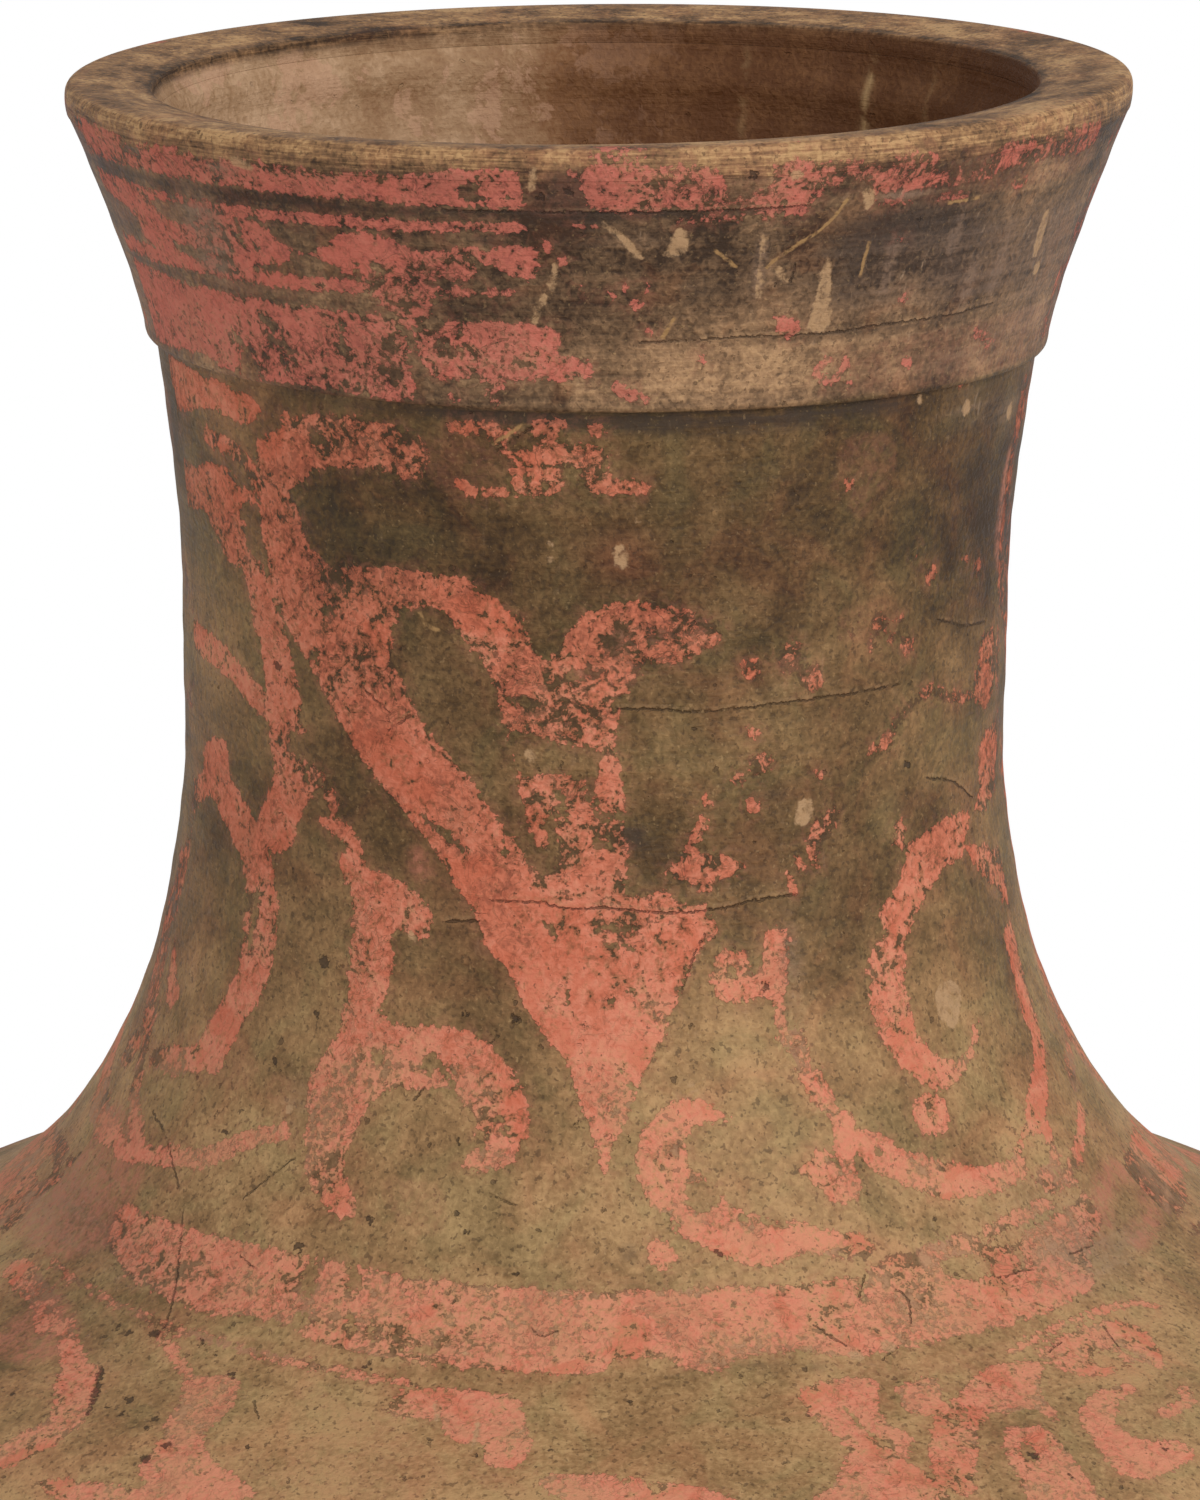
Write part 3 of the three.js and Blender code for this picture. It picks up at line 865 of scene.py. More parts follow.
bowl_levels = np.interp(
    np.linspace(0, np.interp(girth_level, wall_line[:, 1], wall_run), 4), wall_run, wall_line[:, 1]
)
for number, (low, high) in enumerate(zip(bowl_levels, bowl_levels[1:]), start=1):
    bowl_course = spun(f"beaten_bowl_course_{number}", course_outline(low, high, 2.4), 480)
    work_by_hand(bowl_course)
    weather(bowl_course)
    paint(bowl_course, worn=0.4)
    finish_piece(bowl_course, f"bowl_course_{number}", vessel_clay)

# Shoulder: three courses of clay strap that close in to the neck, beaten and then burnished. The brush
# work on it is a register of scrolls between the red band at the root of the neck and a band above
# the girth. It is laid in strokes, patches and dabs.
def stroke(width, *points):
    """One pull of the brush, of an even width."""
    return {"points": points, "half": width / 2, "closed": False, "curved": True}


def patch(*points):
    """A filled shape with a rounded outline."""
    return {"points": points, "half": 0, "closed": True, "curved": True}


def faint(shape):
    """The same shape laid so thin that it only tints the clay."""
    return {**shape, "most": -0.5}


def dab(azimuth, down, size):
    """One touch of the brush."""
    side = size * 0.06
    drop = size * 0.09
    return stroke(size, (azimuth - side, down - drop), (azimuth + side, down + drop))


neck_join_level = 319
neck_band = [
    patch((-58, 191), (-55, 190.6), (-45, 190.8), (-40, 190.4), (-35, 190.4), (-30, 191), (-25, 191.4),
          (-20, 192), (-15, 192.2), (-10, 192.5), (-5, 192.8), (0, 193), (8, 193), (15, 193.2),
          (22, 193.6), (28, 193), (31, 191), (35, 190.4), (40, 189.6), (42.4, 190.6), (43, 192.6),
          (47, 194), (50, 192.6), (54, 192), (58, 191.4), (62, 191), (62, 196), (58, 198.4), (56, 200),
          (54.6, 203), (53, 205.6), (50, 206.6), (45, 207.4), (40, 207.8), (35, 207.6), (30, 207.8),
          (24, 208.2), (21, 207.6), (19.4, 206), (15, 205.6), (12, 206.4), (11, 208.6), (8, 207.8),
          (6, 205.6), (3, 205.4), (1.6, 206), (0.4, 208), (-3, 208.4), (-8, 208.4), (-12, 208),
          (-14.5, 207.6), (-18, 207.4), (-22, 207), (-25, 206.4), (-27.4, 205), (-30, 203.4),
          (-35, 203.6), (-38, 204.6), (-42, 204), (-47, 203), (-50, 202.6), (-54, 200), (-58, 197)),
    stroke(2.2, (44, 190.8), (49, 190), (55, 189.6)),
]
neck_band_bare = [
    patch((36.2, 194), (38.6, 193.4), (41.6, 194.2), (42, 197.4), (39.4, 198.2), (37, 197)),
    patch((-30.6, 192.4), (-29, 192.6), (-28.4, 197.4), (-29.4, 198.4)),
    patch((-29.6, 201.6), (-28, 201), (-27.6, 203.6), (-29, 204.4)),
    patch((-25.6, 192.8), (-24.4, 192.2), (-23.6, 195.8), (-25, 195.6)),
    patch((-17.6, 204.4), (-15, 204), (-14.8, 205.8), (-17.2, 206.2)),
    patch((45.6, 195.6), (47, 195.4), (46.8, 198), (46, 198)),
    stroke(1.2, (27.4, 193.4), (26.2, 196.6)), stroke(0.9, (-24, 200.4), (-23, 203)),
    stroke(0.8, (-21.8, 201), (-21, 204.6)),
]
shoulder_red = [
    stroke(1.5, (-62, 205.6), (-54, 206.8), (-46, 208), (-38, 209), (-26, 210.6), (-16, 212)),
    stroke(5, (-66, 210), (-58, 212), (-54, 216)),
    patch((-78, 190), (-70, 189), (-62, 189.6), (-59, 192), (-59.6, 196), (-66, 197.4), (-74, 197),
          (-78, 195)),
    patch((-52.6, 213), (-49.6, 216), (-46.6, 219.4), (-44.4, 220.4), (-43.4, 223.4), (-42.2, 226.4),
          (-41.2, 230), (-40.8, 234), (-41.4, 238.6), (-42.6, 244), (-46, 250), (-53, 252), (-56, 247),
          (-52, 247), (-47, 245), (-45, 240), (-44.2, 235), (-44.6, 231), (-46.2, 228), (-47.8, 224),
          (-49.4, 220.4), (-52.4, 216.4)),
    patch((-42.4, 210.4), (-39.6, 211.6), (-37, 214.6), (-35, 216.6), (-31.4, 216), (-30.2, 221),
          (-30.4, 226), (-30.2, 231), (-28.4, 234.6), (-25.4, 238), (-24, 241), (-28, 245), (-33, 241),
          (-33.6, 236), (-33.8, 231), (-34.6, 226), (-35, 221.6), (-36.4, 218), (-39, 214.6)),
    patch((-17, 214.6), (-14.6, 212.8), (-10, 212.4), (-7.2, 213.4), (-6.2, 215.4), (-5.8, 218.6),
          (-5.2, 222), (-5.3, 226), (-5.9, 229.4), (-7.2, 229.6), (-8.4, 228), (-8.8, 224),
          (-9.6, 223.6), (-10.6, 224.4), (-12, 222), (-12.6, 219), (-14, 219.2), (-17, 219)),
    patch((-4.2, 231.4), (0, 230.8), (3, 232), (5.4, 233.4), (8.4, 235.6), (12, 243), (12, 252),
          (6, 260), (-3, 262), (-10, 257), (-12, 250), (-8, 246), (-4, 250), (2, 252), (5, 247),
          (2, 241), (-2.4, 237)),
    patch((-40, 246), (-30, 243), (-22, 246), (-18, 255), (-23, 265), (-34, 268), (-42, 262), (-40, 256),
          (-34, 259), (-28, 256), (-29, 250), (-36, 250)),
    patch((19, 212.4), (22, 212.2), (24.2, 213.6), (23.6, 217), (23, 220), (23.5, 224), (24.4, 227),
          (23.6, 230), (22.6, 232.4), (24, 236), (24.6, 240), (23, 248), (16, 250), (14, 241), (16, 237),
          (17.6, 233), (18.8, 229), (18.5, 224), (17.5, 220), (16.9, 216.6), (17.2, 214)),
    patch((26, 215), (29.4, 214.8), (29.2, 219), (28.4, 222), (26.6, 222.8), (25.1, 220), (25.4, 217)),
    patch((35, 215), (40.2, 216), (39.5, 218), (38.3, 221), (37.5, 224), (37.3, 228), (36.7, 230.6),
          (36.2, 227.4), (35.2, 225.6), (33.6, 225.8), (32, 224.4), (31, 226.4), (29.6, 229),
          (28.7, 233), (27.4, 237), (26.2, 241.4), (24.6, 240), (24.4, 236), (24.8, 232), (25.6, 228),
          (26.6, 225), (28.4, 222.4), (30, 220), (32, 217.8)),
    patch((32.6, 228.4), (33.6, 229.6), (35.2, 230.4), (35.4, 236), (35.2, 244), (36, 250), (41, 252),
          (38, 257), (33, 256), (29, 250), (30, 244), (30.4, 236), (31.4, 231)),
    patch((40.5, 215), (44, 212.8), (48.5, 212.2), (51.5, 213.5), (53.3, 216), (53, 220), (51.5, 224),
          (50.3, 226), (49, 222.5), (45, 223), (42.5, 221), (41.5, 218.5)),
    patch((37.8, 240), (38, 236), (38.5, 231), (40, 227.5), (42, 226), (44.5, 225.5), (46, 226.5),
          (45.5, 228), (43.5, 229), (42, 231.5), (41, 234), (41.5, 236.5), (42.5, 239), (44.4, 240.5),
          (45, 244), (41, 246), (38, 244)),
    stroke(2.4, (46, 234.6), (49, 233.8), (50, 231)),
    stroke(1.3, (38, 213.4), (42, 211.2), (47, 210.4), (52, 210.6), (55.4, 211.6), (58, 214)),
    stroke(4, (-55, 268), (-44, 274), (-30, 276), (-16, 272), (-4, 270), (10, 274), (24, 277), (38, 274),
           (50, 268)),
    band(-180, 180, 292, 303), band(-180, 180, 339, 345),
]
shoulder_bare = [
    stroke(0.9, (20.4, 219), (21, 224), (22, 228)),
    patch((45, 218.6), (47.4, 217.6), (48.2, 221), (45.8, 221.6)),
    patch((32, 233.4), (33, 233), (32.8, 237), (32, 236.6)),
    stroke(0.9, (48.6, 217), (49.6, 221.6)), stroke(1.0, (1.4, 230.4), (2.2, 234)),
    stroke(0.8, (3.4, 231.6), (4.2, 235)),
    stroke(0.7, (27, 226.6), (29.4, 224.4), (30.6, 222)),
]
shoulder_wash = [
    patch((-76, 184), (-62, 186), (-58, 194), (-60, 204), (-76, 204)),
    patch((-58, 211), (-53, 211.6), (-49.6, 216), (-49, 220), (-52, 225), (-58, 224)),
    faint(stroke(2.2, (-25, 215.6), (-21.6, 219.2), (-18, 222), (-14, 225.6))),
    faint(stroke(2.2, (-9.4, 229), (-7.8, 232.4), (-5.8, 235))),
    stroke(5, (62, 196), (66, 192), (72, 191), (75, 196), (70, 201), (64, 202)),
    faint(patch((-22, 226), (-14, 226.6), (-11, 233), (-14, 238), (-22, 236))),
    faint(patch((-30, 232), (-24, 234), (-22, 241), (-30, 243))),
    faint(stroke(2.4, (20, 209.6), (30, 212.6), (38, 212))),
    faint(patch((12, 194), (18, 194), (18, 205), (12, 205))),
]
shoulder_pale = [
    stroke(0.9, (-13.4, 215.6), (-12.8, 219.6)), stroke(0.8, (-9.6, 219), (-9.4, 226)),
    dab(23.4, 208.2, 2), dab(26.8, 207.2, 2.2), dab(-12, 205, 1.1),
    stroke(0.7, (23, 202.4), (22.8, 204.6)),
]
shoulder_dark = [
    stroke(1.4, (-44.2, 220.6), (-43, 223.8), (-41.8, 228)),
    stroke(1.1, (-41.6, 229), (-41, 231)), dab(-39, 225.4, 1.8), dab(-38.4, 229, 1.4),
    dab(-35.3, 228, 1.8), dab(-35.5, 230.4, 1.4), dab(-40.2, 228, 1.2), dab(-32.8, 233.4, 1.8),
    dab(-33.6, 237, 2), dab(-46.8, 211.5, 1.6), dab(-45, 212, 1.6), dab(-42.4, 210.6, 2),
    dab(-37, 210.4, 1.4), dab(-35, 211.6, 1.2), dab(-32, 215.2, 1.3), dab(-32, 189.6, 1.8),
    dab(-20.3, 209.5, 1.6), dab(-8.3, 190.3, 1.2), dab(-35.2, 203.8, 1.1), dab(-49.4, 231.6, 1.4),
    dab(2.6, 214, 1.1), dab(32.5, 236, 1.8), dab(34, 242, 1.3), dab(43, 241, 1.3), dab(-9, 227, 1.1),
    dab(-3.6, 225, 1.1), dab(-26.6, 230.6, 1.0),
]
shoulder_cracks = [
    ((-48.6, 188), (-46.8, 193), (-44.4, 199.4), (-43, 204), (-42, 208.4)),
    ((42.4, 198.8), (46.6, 199)), ((53.4, 199), (57.4, 199)),
    ((20.8, 202), (21.6, 203.6), (22.8, 205.6)), ((27.2, 194), (26, 197.4)),
    ((-6, 200.2), (-5.2, 201.2), (-4, 200.4)), ((-38.2, 193), (-36, 194.6)),
    ((-28.6, 220), (-27.4, 223.2)), ((25.8, 209.4), (27.6, 207.6)), ((42, 214.6), (43.6, 213.6)),
    ((49.6, 213.6), (49, 217.6)), ((30, 203.6), (31, 199), (30.2, 197)),
]
shoulder_wear = [
    (0, 203, 60, 10, 0.10), (32, 224, 16, 16, 0.04), (-48, 197, 9, 6, 0.20), (-59, 197, 4, 6, 0.42),
    (-70, 193, 8, 5, 0.26), (-29, 197, 3, 8, 0.22), (-20, 194, 8, 2.5, 0.18), (-22, 202, 4, 4, 0.14),
    (-14, 205, 5, 3, 0.22), (34, 191, 9, 3, 0.30), (50, 196, 7, 6, 0.22), (59, 196, 5, 5, 0.2),
    (15, 206, 6, 2, 0.2), (4, 193.2, 8, 1, 0.3), (-45, 226, 8, 14, 0.12), (-33, 226, 4, 14, 0.12),
    (-20, 220, 6, 6, 0.22), (-50, 245, 12, 12, 0.15), (28, 234, 8, 10, 0.10), (30, 198, 5, 7, 0.14),
    (-38, 209.4, 24, 1.6, 0.30), (-58, 212, 6, 5, 0.3), (30, 200, 4, 5, 0.1), (47, 218, 6, 5, 0.16),
    (0, 232, 4, 2, 0.2),
]
shoulder_start = np.interp(girth_level, wall_line[:, 1], wall_run)
shoulder_end = np.interp(neck_join_level, wall_line[:, 1], wall_run)
shoulder_levels = np.interp(np.linspace(shoulder_start, shoulder_end, 4), wall_run, wall_line[:, 1])
shoulder_makes = ((1, 2.2, 560), (2, 1.8, 620), (3, 1.1, 760))
for (number, grain, steps), low, high in zip(shoulder_makes, shoulder_levels, shoulder_levels[1:]):
    shoulder_course = spun(f"beaten_shoulder_course_{number}", course_outline(low, high, grain), steps)
    work_by_hand(shoulder_course)
    weather(shoulder_course)
    paint(
        shoulder_course,
        red=shoulder_red + neck_band,
        bare=shoulder_bare + neck_band_bare,
        wash=shoulder_wash,
        pale=shoulder_pale,
        dark=shoulder_dark,
        cracks=shoulder_cracks,
        wear=shoulder_wear,
        worn=0.1,
    )
    finish_piece(shoulder_course, f"shoulder_course_{number}", vessel_clay)

# Neck: three courses of clay strap above the shoulder, scraped smooth and burnished dark. Its pattern
# is a hanging pointed tongue with an almond left bare in it, limbs and loops at its sides, and two
# curling scrolls.
neck_red = [
    patch((-80, 46.4), (-66, 46), (-60, 47.4), (-57, 47), (-52, 47.8), (-49, 49), (-48, 51), (-52, 53.4),
          (-57, 52.5), (-62, 52.5), (-66, 54), (-72, 55.4), (-74, 59), (-74, 64), (-80, 64.4)),
    patch((-49.5, 56), (-47, 54.5), (-44, 52.4), (-40, 50), (-34, 49), (-27, 49.6), (-23, 51.6),
          (-22, 54), (-22.4, 57), (-24, 58.6), (-28, 57.8), (-31, 57.3), (-35, 57.8), (-38, 58.5),
          (-39.8, 59.6), (-41.5, 61.5), (-44, 63.3), (-42.8, 65.5), (-42.2, 68), (-42.2, 70.5),
          (-40.8, 73), (-39, 74.5), (-36, 75), (-30, 74.4), (-22, 74.5), (-17, 75), (-16, 77), (-13, 78),
          (-12.5, 80), (-10.5, 81), (-9, 84), (-8.5, 86.5), (-7, 88), (-6, 87), (-5, 85), (-3.5, 83),
          (-2.5, 81.5), (-1, 79.5), (0.5, 79), (4, 78), (9, 79.2), (12, 80.4), (16.6, 83.4),
          (14.4, 86.6), (10, 88.4), (6, 89), (5.5, 91), (4, 93.5), (1.2, 94.5), (2.7, 96), (2.5, 99),
          (2, 102), (3, 105.5), (3.4, 112), (3.9, 120), (3.7, 127), (5.5, 127.5), (9, 127), (10, 128.5),
          (13, 129.5), (14.3, 129), (14.5, 131), (15.8, 132), (15.7, 134), (14, 135.5), (12.5, 138),
          (11, 142), (10, 145), (9.3, 147), (8.3, 150), (7.3, 153), (5.5, 157), (4.5, 160), (4, 162.5),
          (3, 165), (2, 168), (1.3, 171), (0.7, 173), (0, 170), (-0.8, 166), (-1.8, 162.5), (-2.8, 159),
          (-3.3, 156.5), (-4.5, 153.5), (-6.5, 151), (-7.5, 149), (-9.5, 145), (-11, 141), (-13, 138),
          (-15, 135), (-15.7, 132.5), (-17, 129.5), (-19.4, 126), (-21.8, 122), (-24.2, 118.4),
          (-27.2, 114.6), (-31.2, 110), (-34.7, 105), (-38.2, 99), (-41.2, 94), (-44, 90), (-46.6, 86),
          (-49, 81.5), (-50, 75), (-50.5, 70), (-50, 65), (-50, 60)),
    patch((-18, 48.2), (-11, 48.4), (-11, 50.2), (-13, 52.4), (-14, 50.6), (-18, 50)),
    patch((-8.2, 48.6), (-7, 47.4), (-4, 47.4), (-4.2, 48.6), (-5.6, 51.6), (-7.6, 51)),
    patch((-1.2, 48), (0.6, 48.2), (0.4, 50), (-0.8, 50)),
    patch((-12.6, 53), (-8.6, 52.8), (-6, 51.6), (1, 52), (1.4, 54), (0, 55.6), (-5, 55.4), (-9, 54.6)),
    patch((-10.6, 55.4), (-5, 55.2), (-4.6, 58.4), (-5.6, 60.2), (-10.2, 60)),
    patch((-2.2, 55.8), (0.6, 55.6), (1.6, 57.2), (4, 57.6), (6, 58.2), (5.6, 59.8), (0.6, 59.8),
          (-1.6, 59.4)),
    stroke(1.8, (-17.4, 59), (-16, 60)), stroke(1.4, (-14.6, 60), (-10.6, 60)),
    stroke(3, (-62, 57.5), (-55, 58.5), (-52, 61), (-50.5, 64)),
    stroke(2, (-58, 65.5), (-52, 66)),
    patch((-78, 64.5), (-70, 64.2), (-63, 66), (-57, 74), (-52, 77), (-49.5, 80), (-47.2, 87),
          (-45.8, 91), (-44.8, 95), (-43.7, 100), (-43, 104), (-46, 104.6), (-46.4, 108), (-50, 109),
          (-50.6, 104), (-51, 98), (-52, 92), (-53.5, 88), (-54.5, 82), (-57, 77.5), (-62, 73),
          (-66, 71.5), (-78, 72)),
    patch((-78, 92), (-70, 92), (-63, 93), (-58, 95), (-54, 97.5), (-51, 99), (-50, 104), (-54, 102.5),
          (-59, 99.5), (-65, 97.5), (-78, 97)),
    patch((-50, 105), (-48, 108), (-45, 109), (-41, 110), (-40, 112), (-43, 116), (-45, 120), (-46, 124),
          (-49, 126), (-53, 124), (-53, 120), (-50, 114)),
    stroke(2.4, (-39.6, 113), (-38.4, 116.6)), dab(-43, 51, 2),
    patch((-69, 112), (-62, 110), (-61, 115.5), (-57, 118.6), (-54.6, 121), (-52, 124), (-49.6, 127.6),
          (-48, 132), (-47.2, 137), (-47, 142), (-47.4, 147), (-49, 152), (-51, 157), (-52, 162),
          (-52.6, 164.6), (-57, 165.4), (-60, 167.6), (-68, 168.4), (-69, 166), (-66, 164), (-59, 162),
          (-57.6, 158), (-56, 153), (-54, 148), (-53.8, 142), (-54, 136), (-55.6, 131), (-57.6, 127.4),
          (-62, 124), (-66, 121), (-70, 118.6)),
    patch((-67, 64), (-60, 62), (-55, 64), (-54, 72), (-57, 79), (-62, 76), (-66, 70)),
    stroke(3.6, (-74, 160), (-72, 168), (-68, 175), (-62, 180.6)),
    stroke(4.4, (-69, 119), (-74, 123), (-76.5, 130), (-77, 140), (-75.5, 147), (-72, 153), (-69, 156)),
    patch((-41, 118.5), (-39.5, 120), (-37, 121.5), (-36, 123), (-37, 124.5), (-36.5, 127), (-35, 129),
          (-34.5, 132), (-34, 138), (-33.8, 145), (-34, 150), (-34.5, 154), (-36, 158), (-37.5, 162),
          (-37, 165), (-36, 168), (-35.5, 172), (-34.5, 176), (-33, 179), (-30, 182), (-28, 183.5),
          (-26.5, 182), (-28.5, 178), (-29.5, 174), (-29.3, 168), (-28, 163.5), (-25.5, 161),
          (-22, 160.5), (-19, 160), (-17.5, 161), (-16, 162.5), (-14.5, 164.5), (-14, 167), (-14.3, 170),
          (-15.5, 172), (-13, 173), (-10.5, 172), (-9, 169), (-8, 166), (-8.3, 163), (-9, 160),
          (-10.3, 157), (-12, 154), (-14, 152), (-17, 150.3), (-20, 149.7), (-24, 150), (-27, 150),
          (-28.5, 148.5), (-28, 145), (-27.3, 142), (-27.5, 138), (-28, 136), (-26.5, 134.8),
          (-25, 135.3), (-23, 135.5), (-22.3, 134), (-22.5, 131.5), (-24, 129), (-26, 127.5),
          (-28.5, 126.3), (-32, 125.5), (-33, 124), (-34, 121), (-35.5, 119), (-38, 118)),
    stroke(3.5, (-39, 171), (-43, 173), (-47, 176.5), (-50, 179), (-54, 180), (-60, 182), (-65, 183)),
    patch((-80, 178), (-72, 179), (-66, 181), (-66, 184), (-80, 184)),
    patch((16, 165), (14, 162.8), (12, 161.2), (9.5, 161.3), (7.5, 162.5), (5.7, 165), (4.6, 168),
          (4.4, 172), (5, 176), (6.2, 179.5), (8, 182.5), (9.5, 184.5), (11.5, 186), (14, 188.5),
          (17, 189.8), (20, 189), (22, 188.3), (26, 190), (28, 191), (29.5, 189), (28, 186),
          (24.5, 184.8), (22.5, 183), (18, 181.5), (15.5, 180), (14, 178), (13, 176), (12, 173.5),
          (10.5, 172), (10, 169), (10.5, 167), (12.5, 165)),
    patch((5.3, 184.5), (7.2, 184.6), (8.2, 187), (7, 189.4), (5.4, 188.6)),
    stroke(2, (14, 115.4), (13, 118.6), (12.5, 120)),
    patch((9, 124), (10, 122.5), (12, 121), (13.5, 120.5), (16, 121), (19, 122.5), (20, 123.5),
          (18, 125), (16, 125), (15.5, 126.5), (14, 127), (12.5, 125.5), (10.5, 124.8)),
    patch((34, 114), (34.5, 116), (33.5, 119.5), (32, 121.5), (31, 123), (31, 125.5), (30, 124),
          (29.3, 121.5), (29.8, 118.5), (31, 116.5), (32.5, 116)),
    stroke(1.4, (27.6, 122.6), (28.2, 124.4)), stroke(1.3, (26.4, 125.4), (26.8, 128.4)),
    patch((15, 137.5), (17, 137), (19.5, 138), (20, 139.5), (20.5, 141.5), (22, 139), (22.3, 136),
          (23, 134.5), (25, 134.5), (26, 137), (25.5, 140), (25, 144), (23, 146.5), (21.5, 145),
          (18, 146), (15.5, 145), (14.5, 142), (15, 140)),
    stroke(1.6, (23.6, 146), (23.6, 149.6)),
    patch((22.8, 152.4), (24.4, 150.8), (26.6, 151.4), (27, 155), (27, 158.4), (28.5, 158.6),
          (29.3, 162), (29.6, 165), (31, 165.5), (31.5, 168.5), (30.4, 172), (30, 178), (28.2, 178),
          (28, 171), (28.4, 166), (27, 164), (26, 161.5), (25, 158), (24.4, 155)),
    patch((23, 174), (25, 172.5), (26.5, 171), (28, 175), (30, 176), (30, 180), (27, 180.5), (25.5, 178),
          (24, 176)),
    patch((44.4, 120.4), (46, 119.5), (46.8, 121.5), (46.4, 123.4), (48, 124), (51, 123), (55, 122),
          (59, 121.8), (62.5, 122.5), (62.3, 124.5), (60.5, 127), (59, 129.5), (56, 129.5), (54, 130),
          (51, 132.5), (49, 134), (47, 136), (46, 138), (44.5, 140), (44, 143.5), (43.5, 145.5),
          (43.7, 150), (43.8, 154), (45.3, 158.5), (47, 160.5), (50, 161.3), (53, 160), (55, 157),
          (56.3, 156.5), (55.5, 158.5), (53, 162), (50, 164), (46.7, 165.5), (44, 164.8), (41.5, 162),
          (40, 160), (38.8, 157), (37.8, 153), (37, 149), (37.5, 146), (37.8, 142), (39.5, 139.5),
          (41, 138.5), (40.5, 136), (40.5, 134), (42, 132.5), (44.5, 130.5), (45.5, 128), (46.5, 126.5),
          (45.5, 124.5), (43.5, 123.4), (45.4, 122.6)),
    patch((40.5, 166.5), (43, 165.5), (45.3, 166.5), (45.5, 169), (44.8, 171.5), (43, 172.5),
          (40.5, 171.5), (40, 169)),
    patch((28.5, 166), (31, 165.5), (31.5, 168.5), (33, 169.5), (35, 170.5), (36.5, 173), (38.5, 174.5),
          (41, 176), (44, 178), (48, 179.5), (52, 180), (54.5, 178.5), (57, 176.5), (59, 174.5),
          (60.5, 172), (63, 170), (66, 168), (68, 165), (68.5, 160), (69.5, 152), (69, 146), (70, 145),
          (74, 145), (74.5, 150), (73.5, 158), (72.5, 163), (71, 167), (68, 171), (66, 173.5), (63, 176),
          (62.5, 178.5), (60, 178), (57, 178), (55.5, 179.5), (54.5, 182.5), (52, 184.5), (48, 184.5),
          (44, 184), (40.5, 183.3), (38, 181.5), (36, 180), (35, 178.5), (33, 177), (32, 175.5),
          (30.5, 172.5), (29, 171.5)),
    stroke(2.6, (62, 178), (60.6, 183), (56, 185.4)),
    stroke(2.4, (56, 187.4), (60, 186.4), (64, 185.2), (70, 181.5), (76, 177)),
    stroke(1.8, (45, 190.5), (50, 190), (54.5, 189.2)), stroke(2, (57.6, 185.6), (61.6, 188.2)),
    patch((67, 112), (71, 110), (76, 110), (76, 120), (73, 122), (68, 124), (65, 123), (67, 119.5)),
    patch((61, 128), (66, 129), (71, 131), (76, 133), (76, 141), (72, 141), (70, 138), (67, 136),
          (64, 133)),
    patch((67, 93), (72, 93), (74, 98), (73, 103), (69, 106), (65, 104), (64, 101), (66, 97)),
    stroke(1.8, (40, 107), (43, 105.5), (46, 102), (49, 100), (52, 99), (55, 100.5), (60, 102),
           (65, 103)),
    patch((19.4, 89.2), (22, 89), (22.4, 91.4), (20.4, 92)),
    patch((25, 87.4), (28, 87), (28.2, 90.6), (31, 91.2), (31, 94.8), (28, 94.6), (27, 91.8),
          (25.2, 91)),
    dab(21, 101, 1.6),
    patch((20.8, 105.4), (23.6, 105), (23.4, 108), (21.4, 108.4)),
    dab(19, 109, 1.8), dab(31, 109.5, 1.4), dab(14.5, 112, 1.6), dab(21, 113.4, 2.2), dab(53, 46.8, 1.6),
    dab(34, 60.8, 1.8), dab(51.6, 79.2, 2.6), dab(60.5, 78.5, 1.6), dab(64.6, 81.2, 3), dab(48, 75, 1.2),
    dab(37, 84, 1.3), dab(36.5, 86.2, 1.3), dab(41, 85.6, 3.6), dab(40, 89, 1.8), dab(43.6, 88.8, 1.4),
    dab(45.5, 86, 1.4), dab(47, 90.2, 2.8), dab(43, 106.6, 2.2),
]
